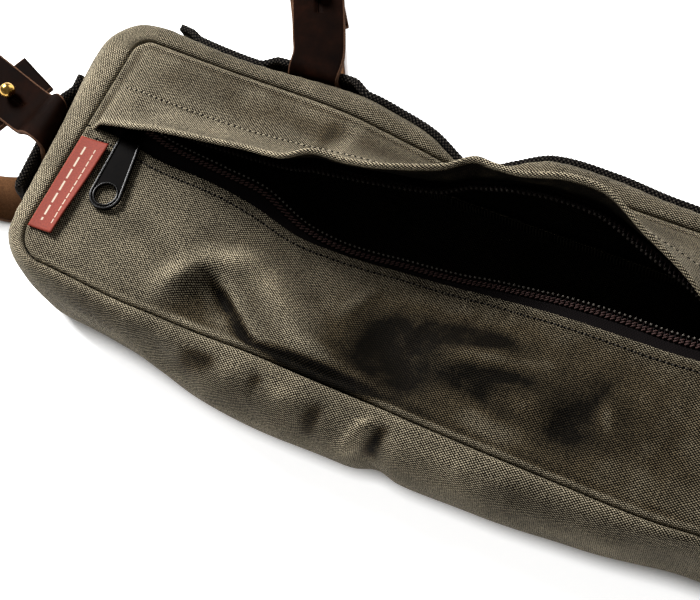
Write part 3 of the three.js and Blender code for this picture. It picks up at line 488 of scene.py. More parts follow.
def ripple(a, b, size, seed):
    # unevenness of handled cloth: five fixed waves of about one length
    dice = np.random.default_rng(seed)
    turns = dice.uniform(0, np.pi, 5)
    stretches = dice.uniform(0.7, 1.4, 5)
    phases = dice.uniform(0, 6.28, 5)
    total = 0
    for turn, stretch, phase in zip(turns, stretches, phases):
        total = total + np.sin((a * np.cos(turn) + b * np.sin(turn)) * 2 * np.pi / (size * stretch) + phase)
    return total / 5


def foldSum(table, a, b):
    # ridges and valleys: place, heading, half length, width, height, and 1 for a pointed crease
    blunt = 0.05  # rounds the tip of a pointed crease
    total = 0
    for atA, atB, heading, length, width, height, pointed in table:
        turn = math.radians(heading)
        along = ((a - atA) * math.cos(turn) + (b - atB) * math.sin(turn)) / length
        across = ((b - atB) * math.cos(turn) - (a - atA) * math.sin(turn)) / width
        fade = np.clip(1 - along * along, 0, None) ** 2
        shape = np.exp(-np.sqrt(across * across + blunt)) if pointed else np.exp(-across * across)
        total = total + height * fade * shape
    return total


def runAlong(line):
    # distance of each point along a line from its first
    return np.concatenate([[0], np.cumsum(np.linalg.norm(np.diff(line, axis=0), axis=1))])


def pointsAt(at, run, line):
    return np.stack([np.interp(at, run, line[:, k]) for k in range(3)], -1)


def gridQuads(columns, rows, looped=False):
    index = np.arange(columns * rows).reshape(rows, columns)
    after = np.roll(index, -1, 1)
    spans = columns if looped else columns - 1
    quads = np.stack([index[:-1, :spans], after[:-1, :spans], after[1:, :spans], index[1:, :spans]], -1)
    return quads.reshape(-1, 4)


def quadEdges(quads):
    return np.concatenate([quads[:, [0, 1]], quads[:, [1, 2]], quads[:, [2, 3]], quads[:, [3, 0]]])


def endCaps(around, rows):
    return [list(range(around))[::-1], list(range((rows - 1) * around, rows * around))]


def pointNormals(points, quads):
    across = points[quads[:, 2]] - points[quads[:, 0]]
    other = points[quads[:, 3]] - points[quads[:, 1]]
    faceNormals = np.cross(across, other)
    normals = np.zeros_like(points)
    for k in range(4):
        np.add.at(normals, quads[:, k], faceNormals)
    return unit(normals)


def ridgeValue(points, quads, normals, gain=4.0, passes=5):
    # 0.5 on flat cloth, towards 1 on ridges and edges, towards 0 in creases
    edges = quadEdges(quads)
    count = np.zeros(len(points))
    np.add.at(count, edges[:, 0], 1)
    np.add.at(count, edges[:, 1], 1)
    count = np.maximum(count, 1)

    def mean(values):
        total = np.zeros_like(values)
        np.add.at(total, edges[:, 0], values[edges[:, 1]])
        np.add.at(total, edges[:, 1], values[edges[:, 0]])
        return total / (count if values.ndim == 1 else count[:, None])

    size = np.zeros(len(points))
    lengths = np.linalg.norm(points[edges[:, 0]] - points[edges[:, 1]], axis=1)
    np.add.at(size, edges[:, 0], lengths)
    np.add.at(size, edges[:, 1], lengths)
    size = size / count
    bend = -np.einsum("ij,ij->i", mean(points) - points, normals) / np.maximum(size, 0.2) ** 2
    for _ in range(passes):
        bend = 0.5 * bend + 0.5 * mean(bend)
    return np.clip(0.5 + gain * bend, 0, 1)


def buildMesh(name, points, faces, uv, materials, slots=None, rub=None, wrap=0):
    # points and uv in mm; uv is one pair for each point; wrap closes a loop of cloth
    mesh = bpy.data.meshes.new(name)
    mesh.from_pydata((np.asarray(points) * mm).tolist(), [], [list(map(int, f)) for f in faces])
    corner = np.array([i for f in faces for i in f])
    layer = mesh.uv_layers.new(name="cloth")
    placed = np.asarray(uv, float)[corner]
    if wrap:
        start = 0
        for f in faces:
            span = placed[start:start + len(f), 0]
            if span.max() - span.min() > wrap / 2:
                span[span < wrap / 2] += wrap
            start += len(f)
    layer.uv.foreach_set("vector", placed.astype(np.float32).ravel())
    for material in materials:
        mesh.materials.append(material)
    if slots is not None:
        mesh.polygons.foreach_set("material_index", np.asarray(slots, np.int32))
    if rub is not None:
        mesh.attributes.new("rub", "FLOAT", "POINT").data.foreach_set("value", np.asarray(rub, np.float32))
    mesh.polygons.foreach_set("use_smooth", np.ones(len(mesh.polygons), bool))
    mesh.update()
    return addObject(name, mesh)


def sheetPiece(name, points, quads, uv, thick, materials, wrap=0, marks=0):
    # closed thin sheet: the points are its outside, the inside lies one thickness in
    count = len(points)
    normals = pointNormals(points, quads)
    # paler on ridges, darker in creases, plus the marks: partly wear, partly painted highlight and painted
    # shade
    rub = np.clip(ridgeValue(points, quads, normals) + marks, 0, 1)
    directed = quadEdges(quads)
    forward = directed[:, 0] * count + directed[:, 1]
    backward = directed[:, 1] * count + directed[:, 0]
    rim = directed[~np.isin(forward, backward)]
    walls = np.stack([rim[:, 1], rim[:, 0], rim[:, 0] + count, rim[:, 1] + count], -1)
    faces = np.concatenate([quads, quads[:, ::-1] + count, walls])
    slots = np.concatenate([np.zeros(len(quads)), np.full(len(quads) + len(walls), len(materials) - 1)])
    return buildMesh(name, np.concatenate([points, points - normals * thick]), faces,
                     np.concatenate([uv, uv]), materials, slots, np.concatenate([rub, rub]), wrap)


def bandPiece(name, grid, thick, edge, materials, relief=None):
    # strap, webbing or tape: rows of places along it, columns across it, with rounded edges and closed ends
    rows, columns = grid.shape[:2]
    normals = pointNormals(grid.reshape(-1, 3), gridQuads(columns, rows)).reshape(grid.shape)
    side = unit(grid[:, -1] - grid[:, 0])
    top = grid.copy()
    top[:, 0] += side * edge
    top[:, -1] -= side * edge
    first, last = normals[:, 0], normals[:, -1]
    turns = np.radians([30, 60, 90])
    ring = [top[:, k] for k in range(columns)]
    kinds = [0] * (columns - 1)
    for a in turns:
        ring.append(grid[:, -1] - side * edge * (1 - math.sin(a)) - last * edge * (1 - math.cos(a)))
    for a in turns:
        ring.append(grid[:, -1] - side * edge * (1 - math.cos(a)) - last * (thick - edge * (1 - math.sin(a))))
    kinds += [1] * 6
    ring += [top[:, k] - normals[:, k] * thick for k in range(columns - 2, 0, -1)]
    kinds += [2] * (columns - 2)
    for a in turns[::-1]:
        ring.append(grid[:, 0] + side * edge * (1 - math.cos(a)) - first * (thick - edge * (1 - math.sin(a))))
    kinds += [2] + [1] * 2
    for a in turns[::-1]:
        ring.append(grid[:, 0] + side * edge * (1 - math.sin(a)) - first * edge * (1 - math.cos(a)))
    kinds += [1] * 4
    ring = np.stack(ring, 1)
    around = ring.shape[1]
    length = runAlong(grid[:, columns // 2])
    girth = runAlong(ring[0])
    uv = np.stack(np.broadcast_arrays(length[:, None], girth[None, :]), -1).reshape(-1, 2)
    points = ring.reshape(-1, 3)
    quads = gridQuads(around, rows, True)
    if relief is not None:
        points = points + pointNormals(points, quads) * relief(uv[:, 0], uv[:, 1])[:, None]
    rub = ridgeValue(points, quads, pointNormals(points, quads), gain=0.9, passes=2)
    lastSlot = len(materials) - 1
    slots = np.concatenate([np.tile(np.minimum(kinds, lastSlot), rows - 1), [min(1, lastSlot)] * 2])
    return buildMesh(name, points, [*quads.tolist(), *endCaps(around, rows)], uv, materials, slots, rub)


def tubePiece(name, path, sideWay, radius, sides, materials):
    # round wire along a path, its ring turned from a side direction
    along = unit(np.gradient(path, axis=0))
    side = unit(sideWay - along * np.einsum("ij,ij->i", sideWay, along)[:, None])
    up = np.cross(along, side)
    turns = np.arange(sides) * 2 * np.pi / sides
    ring = (path[:, None] + radius * (side[:, None] * np.cos(turns)[None, :, None]
                                      + up[:, None] * np.sin(turns)[None, :, None]))
    points = ring.reshape(-1, 3)
    rows = len(path)
    uv = np.stack(np.broadcast_arrays(runAlong(path)[:, None], (turns * radius)[None, :]), -1).reshape(-1, 2)
    quads = gridQuads(sides, rows, True).tolist()
    return buildMesh(name, points, [*quads, *endCaps(sides, rows)], uv, materials)


def stitchPiece(name, centres, ways, normals, length, radius, bow, material):
    # each stitch is a short thread that rises from one hole and dips into the next
    swell = np.array([0.55, 0.9, 1, 1, 1, 0.9, 0.55]) * radius
    t = np.linspace(-0.5, 0.5, len(swell))
    sides = 6
    turns = np.arange(sides) * 2 * np.pi / sides
    side = np.cross(normals, ways)
    spine = (centres[:, None] + ways[:, None] * (t * length)[None, :, None]
             + normals[:, None] * (bow * (1 - (2 * t) ** 2 * 2.2))[None, :, None])
    ring = (spine[:, :, None] + swell[None, :, None, None]
            * (side[:, None, None] * np.cos(turns)[None, None, :, None]
               + normals[:, None, None] * np.sin(turns)[None, None, :, None]))
    points = ring.reshape(-1, 3)
    one = [*gridQuads(sides, len(t), True).tolist(), *endCaps(sides, len(t))]
    faces = []
    for k in range(len(centres)):
        base = k * sides * len(t)
        faces += [[base + i for i in face] for face in one]
    return buildMesh(name, points, faces, points[:, :2], [material])


def takeIn(piece, body, nodes):
    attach(piece, body)
    if nodes:
        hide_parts(*nodes)


# The bag's own lines, as in the part's source, in millimetres
bag = {
    "faceLength": 312, "faceHeight": 110, "depth": 55, "lowerCorner": 14, "upperCorner": 8,
    "squareness": 2.5, "seamTurn": 7, "seamRoll": 2.2, "seamGap": 0.2,
    "cloth": 0.8,  # one layer of canvas as drawn
    "seamSink": 0.6,  # how far the panels dip beside the gusset's rolled edge
    "sinkReach": 3.2, "sinkStart": 1.5,  # from the seam
    "seamRidge": 0.8,  # how far the gusset's rolled edge stands up
}
halfLength = bag["faceLength"] / 2
halfHeight = bag["faceHeight"] / 2
innerX = halfLength - bag["seamRoll"]

# x, seam pushed inward, seam dropped, bulge of the gusset
topSide = [
    (-156, 0, 0, 15), (-110, 1, 0, 12.3), (-72, 1, 0, 15), (-53, 1.5, 0.5, 16), (-40, 2, 3, 15),
    (-23, 3, 6, 12.5), (-5, 4, 10, 5), (3, 4, 10, 5), (15, 2, 6, 10), (30, 0, 1, 15), (55, 0, 0, 16),
    (80, 0, 0, 14), (156, 0, 0, 13),
]
bottomSide = [
    (-156, 0, 0, 5), (-140, 0, 0, 7), (-105, -2, 0, 10), (-87, -2, 0, 14), (-68, -2, 0, 18),
    (-45, -1, 1, 20.5), (-20, -1, 2, 20), (3, -1, 2, 19), (12, -1, 2, 16.5), (22, -1.5, 1, 18),
    (50, -2, 0, 17), (68, -2, 0, 16), (85, -2, 0, 14), (102, -2, 0, 12), (118, -1.5, 0, 9),
    (133, 0, 0, 6), (156, 0, 0, 5),
]
endSide = [(-55, 10), (-38, 14), (-17, 16), (0, 17.5), (20, 20), (41, 22.5), (55, 22)]  # y, bulge
# x and z on the bottom side, reach along x, reach in height, depth
sideDents = [
    (-80, 44, 14, 12, 4), (12, 24, 9, 22, 0.8), (2, 30, 7, 18, -0.8), (-40, 40, 7, 9, 1.4),
    (-17, 41, 6, 10, 1.6),
]
# x, z, heading, half length, width, height, pointed
sideCreases = [
    (3, 40, 62, 16, 4.0, 1.0, 0), (11, 39, 62, 15, 4.0, -0.8, 0), (-30, 33, 60, 14, 4, 0.7, 0),
    (-56, 30, 118, 15, 4, 0.6, 0), (60, 30, 80, 16, 6, 0.5, 0), (95, 32, 100, 14, 5, -0.5, 0),
]
# on the bottom side, seen from above: x, y, heading, half length, width, height, pointed
sideFolds = [
    (-62, -65, 20, 17, 5, -2.0, 0), (-37.4, -62.6, 76, 11, 3.6, -1.6, 0), (-12.4, -68, 66, 11, 3.6, -1.8, 0),
    (6.5, -68.5, 59, 17, 2.8, 3.0, 0), (13.2, -67, 59, 15, 3, -1.9, 0), (-25, -65, 70, 10, 5, 1.1, 0),
    (-50, -64, 70, 9, 4, 0.8, 0), (46, -66, 74, 11, 5, 0.8, 0), (70, -66, 80, 11, 5, -0.7, 0),
]
# x, y, heading, half length, width, strength, pointed
sideMarks = [(-112, -62, 12, 46, 10, -0.2, 0), (44, -67, 4, 44, 6, 0.1, 0), (88, -64, -4, 50, 8, -0.1, 0)]


def sideDent(px, ny, z):
    total = 0
    for x, atZ, reachX, reachZ, depth in sideDents:
        total = total + depth * np.exp(-((px - x) / reachX) ** 2 - ((z - atZ) / reachZ) ** 2)
    return np.where(ny > -0.5, 0, total - foldSum(sideCreases, px, z))


def sidePick(column, px, ny):
    return np.where(ny > 0, readTable(topSide, column, px), readTable(bottomSide, column, px))


def gussetPlace(px, py, nx, ny, height):
    share = ny * ny
    inward = sidePick(1, px, ny) * share
    seamZ = bag["depth"] - sidePick(2, px, ny) * share
    bulge = readTable(endSide, 1, py) * nx * nx + sidePick(3, px, ny) * share
    power = bag["squareness"]
    roundness = np.maximum(1 - np.abs(2 * height - 1) ** power, 0) ** (1 / power)
    z = height * seamZ
    out = bulge * roundness - sideDent(px, ny, z)
    shift = smooth(height)
    return np.stack([px - nx * inward * shift + nx * out, py - ny * inward * shift + ny * out, z], -1)


def offGusset(px, py, nx, ny, height, lift):
    step = 0.02
    upward = gussetPlace(px, py, nx, ny, height + step) - gussetPlace(px, py, nx, ny, height - step)
    onward = gussetPlace(px - ny, py + nx, nx, ny, height) - gussetPlace(px + ny, py - nx, nx, ny, height)
    outward = unit(np.cross(onward, upward))
    return gussetPlace(px, py, nx, ny, height) + outward * np.asarray(lift)[..., None]


def cornerOf(w):
    # plan radius of the seam's corners on that side, and where their centres are
    radius = np.where(np.asarray(w) < 0, bag["lowerCorner"], bag["upperCorner"])
    return radius, halfLength - radius, halfHeight - radius


def seamLoop(alongX, alongY, perCorner):
    # counter-clockwise from above: x, y, outward x, outward y
    loop = []
    low, lowX, lowY = cornerOf(-1)
    high, highX, highY = cornerOf(1)
    sides = [
        ((-lowX, -halfHeight), (lowX, -halfHeight), (0, -1), alongX, low, (lowX, -lowY), -90),
        ((halfLength, -lowY), (halfLength, highY), (1, 0), alongY, high, (highX, highY), 0),
        ((highX, halfHeight), (-highX, halfHeight), (0, 1), alongX, high, (-highX, highY), 90),
        ((-halfLength, highY), (-halfLength, -lowY), (-1, 0), alongY, low, (-lowX, -lowY), 180),
    ]
    for start, end, normal, count, radius, centre, turned in sides:
        for t in np.arange(count) / count:
            loop.append((start[0] + (end[0] - start[0]) * t, start[1] + (end[1] - start[1]) * t, *normal))
        for k in range(perCorner):
            a = math.radians(turned + 90 * k / perCorner)
            outX, outY = math.cos(a), math.sin(a)
            loop.append((centre[0] + radius * outX, centre[1] + radius * outY, outX, outY))
    return np.array(loop)


def seamTurnProfile(top, gap, turn):
    # quarter round over the seam's edge, then straight down into the seam: inset, drop
    turns = np.radians([25, 50, 72, 90])
    rounds = [(gap + (top - gap) * (1 - math.sin(a)), 2 * (1 - math.cos(a))) for a in turns]
    return rounds + [(gap, turn)]


# Gusset: one long strip of canvas round all four sides
gussetPiece = {
    "alongX": 150, "alongY": 44, "perCorner": 12, "rows": 30, "laidAt": 0.85, "rollInset": 0.4,
    "unevenness": 0.28, "waveSize": 30, "waveRise": 70, "waveFade": 6,
    "pucker": 0.18, "puckerPitch": 7.5, "puckerDrift": 19,  # beside the front seam
    "puckerAt": 0.93, "puckerReach": 0.07, "ridgeAt": 0.955, "ridgeReach": 0.03,  # shares of the height
    "foldsFrom": 0.6, "foldsGrow": 0.2, "seamFade": 30,
    # painted light and shade: the end paler, the top darker, the folds paler on ridges and darker in dents
    "endLight": 0.26, "topShade": -0.14, "foldShading": 0.24,
}


def makeGusset():
    spec = gussetPiece
    loop = seamLoop(spec["alongX"], spec["alongY"], spec["perCorner"])
    px, py, nx, ny = loop.T
    steps = np.arange(1, spec["rows"]) / spec["rows"]
    heights = 0.5 - 0.5 * np.cos(np.pi * steps)
    share = ny * ny
    inward = sidePick(1, px, ny) * share
    seamZ = bag["depth"] - sidePick(2, px, ny) * share
    profile = seamTurnProfile(bag["seamRoll"] - spec["rollInset"], bag["seamGap"], bag["seamTurn"])
    rows = []
    for out, down in profile[::-1]:
        rows.append(np.stack([px + nx * out, py + ny * out, np.full_like(px, down)], -1))
    around = np.concatenate([[0], np.cumsum(np.hypot(np.diff(px), np.diff(py)))])
    laid = gussetPlace(px, py, nx, ny, spec["laidAt"])
    laidOut = runAlong(laid)
    marks = [0 * px] * len(rows)
    for h in heights:
        place = gussetPlace(px, py, nx, ny, h)
        wave = spec["unevenness"] * ripple(around, h * spec["waveRise"] + 0 * px, spec["waveSize"], 11)
        wave = wave * smooth(min(h, 1 - h) * spec["waveFade"])
        drift = 2 * np.sin(around / spec["puckerDrift"])
        pucker = spec["pucker"] * np.sin(around * 2 * np.pi / spec["puckerPitch"] + drift)
        pucker = pucker * np.exp(-((h - spec["puckerAt"]) / spec["puckerReach"]) ** 2)
        ridge = bag["seamRidge"] * np.exp(-((h - spec["ridgeAt"]) / spec["ridgeReach"]) ** 2)
        shown = smooth((h - spec["foldsFrom"]) / spec["foldsGrow"]) * smooth((1 - h) * spec["seamFade"])
        shown = shown * (ny < -0.5)  # on the bottom side only
        folded = foldSum(sideFolds, place[:, 0], place[:, 1]) * shown
        # painted highlight on the folds' ridges, painted shade in their dents, and the side marks
        marks.append(spec["foldShading"] * folded + foldSum(sideMarks, place[:, 0], place[:, 1]) * shown)
        place[:, 0] += nx * (wave + pucker)
        place[:, 1] += ny * (wave + pucker)
        place[:, 2] += ridge + folded
        rows.append(place)
    for out, down in profile:
        rows.append(np.stack([px - nx * inward + nx * out, py - ny * inward + ny * out, seamZ - down], -1))
    grid = np.stack(rows)
    arc = np.concatenate([0 * grid[:1, :, 0], np.cumsum(np.linalg.norm(np.diff(grid, axis=0), axis=2), 0)])
    uv = np.stack(np.broadcast_arrays(laidOut[None, :], arc - arc[-1]), -1).reshape(-1, 2)
    length = laidOut[-1] + np.linalg.norm(laid[0] - laid[-1])
    quads = gridQuads(len(loop), len(rows), True)
    marks += [0 * px] * len(profile)
    endAndTopShading = spec["endLight"] * smooth(-nx) + spec["topShade"] * smooth(ny)  # painted light on the end, which faces the lamp; painted shade on the top
    marks = (np.stack(marks) + endAndTopShading).reshape(-1)
    piece = sheetPiece("gusset_cloth", grid.reshape(-1, 3), quads, uv, bag["cloth"],
                       [canvasCloth, canvasInsideShade], length, marks)
    takeIn(piece, "bag", ["gusset"])


makeGusset()
print("gusset made")


# Panels

def rowHalfWidth(w):
    radius, centreX, centreY = cornerOf(w)
    inset = radius - bag["seamRoll"]
    over = np.clip(np.abs(w) - centreY, 0, inset)
    return centreX + np.sqrt(inset * inset - over * over)


def rimNormal(x, w):
    _, centreX, centreY = cornerOf(w)
    if abs(w) <= centreY + 1e-6:
        return math.copysign(1, x), 0.0
    dx, dy = x - math.copysign(centreX, x), w - math.copysign(centreY, w)
    size = math.hypot(dx, dy)
    return dx / size, dy / size


def cornerRows(side, turns):
    radius, _, centreY = cornerOf(side)
    return [centreY + math.sin(a) * (radius - bag["seamRoll"]) for a in np.radians(turns)]


def addSkirt(points, uv, quads, rim):
    # the turned edge that goes down into the seam: rim rows are point, outward x, outward y
    previous = np.array([r[0] for r in rim])
    nx = np.array([r[1] for r in rim])
    ny = np.array([r[2] for r in rim])
    base, baseUv = points[previous], uv[previous]
    for inset, down in seamTurnProfile(bag["seamRoll"], bag["seamGap"], bag["seamTurn"]):
        out = bag["seamRoll"] - inset
        row = np.stack([base[:, 0] + nx * out, base[:, 1] + ny * out, base[:, 2] - down], -1)
        now = np.arange(len(points), len(points) + len(row))
        points = np.concatenate([points, row])
        uv = np.concatenate([uv, baseUv + np.stack([nx, ny], -1) * (out + down)])
        quads = np.concatenate([quads, np.stack([previous[:-1], now[:-1], now[1:], previous[1:]], -1)])
        previous = now
    return points, uv, quads


# Lower panel: sags into the open mouth, with broad folds and one sharp crease
lowerPiece = {
    "columns": 300, "lipEdge": 7.4, "foldRound": 1.0, "hem": 9, "step": 1.1,
    "unevenness": 0.3, "waveSize": 27, "smallWave": 12, "smallShare": 0.4,
    "creaseSharp": 1.4, "creaseFade": 9, "rimRows": 16, "rimReach": 16, "lipBack": 1.5,
}
# x, y and z of the folded edge, reach of the zip tape past it
lipLine = [
    (-156, 7.4, 55, 5), (-140, 6.6, 54.6, 5.5), (-130, 5.4, 54, 7.8), (-118, 4, 53, 7), (-92, 4, 50.2, 5.6),
    (-74, 3, 45.2, 6.4), (-55, 0, 39.6, 4), (-40, 1.2, 35, 2.4), (-27, 3.4, 31, 2.2), (-10, 5.4, 30, 2.6),
    (12, 6.4, 32.4, 3), (27, 7, 35.4, 3.9), (45, 7, 40, 4.6), (63, 6.6, 44.6, 5.2), (81, 5.9, 48, 5.5),
    (98, 5.2, 51, 5.2), (112, 5.6, 53, 5.3), (138, 7.2, 55, 6.5), (156, 7.4, 55, 5),
]
# x, y, heading, half length, width, height, pointed: the large folds, then the small creases
lowerFolds = [
    (-72, -45, -40, 22, 10, -4, 0), (-40, -34, -32, 42, 8, 5.5, 0), (-85, -37, 58, 18, 6, 4, 0),
    (-70, -23, 14, 17, 6, 3.5, 0), (2, -30, -35, 30, 12, -6, 0), (30, -22, 12, 24, 7, 3.5, 0),
    (46, -38, -14, 26, 6, -3, 0), (72, -40, 30, 24, 9, -3, 0), (-69, -37, -45, 12, 4, -2.5, 0),
    (-22, -45, -8, 36, 5, 2.4, 0), (-104, -30, -24, 22, 5, -1, 0), (-92, -12, -34, 22, 3, -0.8, 1),
    (-96, -22, -30, 24, 5, 1, 0), (-20, -16, 70, 14, 3, 0.7, 0), (6, -22, 84, 16, 3.4, 1, 0),
    (31, -15, 6, 14, 1.6, 0.6, 1), (49, -29, 14, 14, 1.6, 0.6, 1), (88, -24, 70, 18, 5, 0.8, 0),
    (112, -34, 80, 18, 6, -0.7, 0),
]
# x, y, height: line of the sharp crease, where the cloth on its left stands above that on its right
lowerCrease = [
    (-80.7, -28.9, 0), (-73, -32.9, 1.6), (-66.4, -36.7, 3), (-60, -41.6, 3.6), (-54.5, -46.2, 3.6),
    (-47, -51, 3.6), (-40, -54, 3.4), (-24, -55, 3), (-6, -55.4, 2.4), (16, -55.4, 0),
]
# x, y, heading, half length, width, strength, pointed: darker below 0, paler above, partly wax, partly
# painted shade and painted highlight; the two strongest dark ones are painted shadow along the crease and the
# seam
lowerMarks = [
    (74, -28, 8, 140, 44, -0.28, 0), (-1, -28, 70, 34, 19, -0.38, 0), (26, -20, 15, 48, 15, -0.2, 0),
    (29, -14, 9, 28, 5, -0.26, 0), (46, -28, 10, 28, 5, -0.24, 0), (10, -46, 4, 44, 11, -0.2, 0),
    (78, -32, 74, 36, 13, -0.24, 0), (-73, -47, 16, 20, 7, -0.16, 0),
    (-57, -44.4, -38, 22, 2.4, -0.7, 0), (-20, -53.4, -1, 36, 3.4, -1.3, 0),
    (-90, -40, 60, 18, 5, 0.3, 0), (-73, -24, 18, 19, 5, 0.36, 0), (-47, -27, -30, 24, 5, 0.34, 0),
    (46, -18.5, 9, 26, 3.5, 0.16, 0), (89, -28, 114, 11, 2.4, 0.2, 0), (57, -46, 15, 28, 6, 0.12, 0),
    (-110, -14, -8, 34, 12, 0.12, 0), (-120, -42, 10, 34, 10, 0.1, 0),
]


def creaseStep(table, a, b):
    # steep step along a line, dying away on both sides of it
    run = np.linspace(0, len(table) - 1, 80)
    line = np.stack([np.interp(run, np.arange(len(table)), [row[k] for row in table]) for k in range(3)], -1)
    way = unit(np.gradient(line[:, :2], axis=0))
    off = np.stack([a, b], -1)[..., None, :] - line[:, :2]
    nearest = np.argmin(np.einsum("...i,...i->...", off, off), -1)
    gap = np.take_along_axis(off, nearest[..., None, None], -2)[..., 0, :]
    side = way[nearest][..., 0] * gap[..., 1] - way[nearest][..., 1] * gap[..., 0]
    far = np.linalg.norm(gap, axis=-1)
    step = np.tanh(side / lowerPiece["creaseSharp"])
    return line[nearest][..., 2] * step * np.exp(-far / lowerPiece["creaseFade"])


def seamDip(near):
    # the hollow in a panel beside the gusset's rolled edge
    return bag["seamSink"] * np.exp(-(near / bag["sinkReach"]) ** 2) * smooth(near / bag["sinkStart"])


def lowerPlace(x, w):
    spec = lowerPiece
    seamY = readTable(bottomSide, 1, x) - halfHeight
    seamZ = bag["depth"] - readTable(bottomSide, 2, x)
    start = -halfHeight + bag["seamRoll"]
    t = (w - start) / (spec["lipEdge"] - start)
    toEnd = innerX - np.abs(x)
    rim = smooth(np.minimum(t * spec["rimRows"], toEnd / spec["rimReach"]))
    y = seamY + bag["seamRoll"] + (readTable(lipLine, 1, x) - seamY - bag["seamRoll"]) * t
    folds = foldSum(lowerFolds, x, y) + creaseStep(lowerCrease, x, y)
    z = seamZ + (readTable(lipLine, 2, x) - seamZ) * t + folds * rim
    waves = ripple(x, y, spec["waveSize"], 3) + spec["smallShare"] * ripple(x, y, spec["smallWave"], 4)
    z = z + spec["unevenness"] * waves * rim
    return np.stack([x, y, z - seamDip(np.minimum(w - start, toEnd))], -1)


def lipFrame(x):
    lip = lowerPlace(x, lowerPiece["lipEdge"] + 0 * x)
    inside = lowerPlace(x, lowerPiece["lipEdge"] - lowerPiece["lipBack"] + 0 * x)
    way = lip - inside
    way[:, 0] = 0
    way = unit(way)
    return lip, way, np.stack([0 * x, -way[:, 2], way[:, 1]], -1)


def makeLowerPanel():
    spec = lowerPiece
    corner = cornerRows(-1, np.linspace(90, 0, 9))
    count = int((corner[-1] + spec["lipEdge"]) / spec["step"])
    straight = np.linspace(-corner[-1], spec["lipEdge"], count)[1:]
    heights = np.concatenate([-np.array(corner), straight])
    s = np.linspace(-1, 1, spec["columns"])
    rows, uvRows = [], []
    for w in heights:
        x = rowHalfWidth(w) * s
        rows.append(lowerPlace(x, w + 0 * x))
        uvRows.append(np.stack([x, w + 0 * x], -1))
    panelRows = len(rows)
    x = innerX * s
    lip, way, up = lipFrame(x)
    r = spec["foldRound"]
    hem = [(r * math.sin(a), r * (1 - math.cos(a)), r * a) for a in np.radians([30, 60, 90, 120, 150, 180])]
    hem += [(-back, 2 * r, r * math.pi + back) for back in (2, 4, 6, spec["hem"])]
    for on, down, arc in hem:
        rows.append(lip + way * on - up * down)
        uvRows.append(np.stack([x, spec["lipEdge"] + arc + 0 * x], -1))
    columns = spec["columns"]
    points = np.stack(rows).reshape(-1, 3)
    uv = np.stack(uvRows).reshape(-1, 2)
    quads = gridQuads(columns, len(rows))
    leftEdge = [j * columns for j in range(panelRows - 1, 0, -1)]
    rightEdge = [j * columns + columns - 1 for j in range(1, panelRows)]
    rim = [(i, *rimNormal(*uv[i])) for i in leftEdge]
    rim += [(i, 0.0, -1.0) for i in range(columns)]
    rim += [(i, *rimNormal(*uv[i])) for i in rightEdge]
    points, uv, quads = addSkirt(points, uv, quads, rim)
    marks = foldSum(lowerMarks, points[:, 0], points[:, 1])
    piece = sheetPiece("lower_panel_cloth", points, quads, uv, bag["cloth"],
                       [canvasCloth, canvasInsideShade], 0, marks)
    takeIn(piece, "bag", ["lower_panel"])


makeLowerPanel()
print("lower panel made")

# Upper panel: a strip along the top seam, then the doubled rain flap that stands up over the mouth
upperPiece = {
    "columns": 240, "rows": 30, "steps": 24, "flapEdge": 8, "stitchArc": 25, "liftPower": 1.6,
    "foldRound": 1.1, "endReach": 8, "underRows": 12, "underFrom": 2, "underEnd": 0.5, "underShift": 3.4,
    "unevenness": 0.28, "waveSize": 24, "stitchDip": 0.35, "dipReach": 1.1,
    "underShade": 1.2, "shadeFrom": 3.6, "shadeGrow": 2.0,  # painted shade: the flap's under layer made black
    "edgeHighlight": 0.7, "edgeHighlightAt": 1.4, "edgeHighlightReach": 2.4,  # painted highlight along the folded edge
}
# x, angle above level at the seam, angle at the flap's edge
liftLine = [
    (-156, 4, 6), (-140, 12, 14), (-130, 9, 29), (-120, 7, 43), (-100, 5, 58), (-80, 7, 65), (-62, 13, 66),
    (-50, 20, 79), (-36, 30, 75), (-20, 40, 78), (0, 52, 90), (10, 56, 97), (20, 58, 84), (30, 60, 75),
    (48, 60, 89), (62, 58, 90), (78, 50, 74), (100, 36, 58), (125, 14, 22), (140, 10, 14), (156, 4, 6),
]
# x, arc from the seam, heading, half length, width, height, pointed
upperFolds = [
    (-49, 14, 78, 20, 4, -1.1, 1), (-110, 27, 4, 30, 3, -0.5, 1), (-132, 34, 30, 14, 4, -0.8, 0),
    (-96, 12, -6, 26, 6, 0.6, 0), (-70, 20, 20, 18, 5, 0.5, 0), (116, 16, -20, 24, 6, 0.6, 0),
]
# x, arc, heading, half length, width, strength, pointed: the flap paler, partly rubbing and partly painted
# light; a pale and a dark band beside the kink, painted highlight and shade; the strip behind them darker
upperMarks = [
    (-60, 11, 0, 120, 9, -0.18, 0), (-95, 33, 0, 60, 7, 0.18, 0), (-47, 18, 84, 24, 3, 0.3, 0),
    (-55, 16, 84, 20, 3, -0.2, 0), (30, 38, 0, 90, 10, 0.42, 0), (80, 10, 0, 60, 9, -0.1, 0),
]


def upperAngles(x):
    toEnd = smooth((innerX - np.abs(x)) / upperPiece["endReach"])
    return readTable(liftLine, 1, x) * toEnd, readTable(liftLine, 2, x) * toEnd


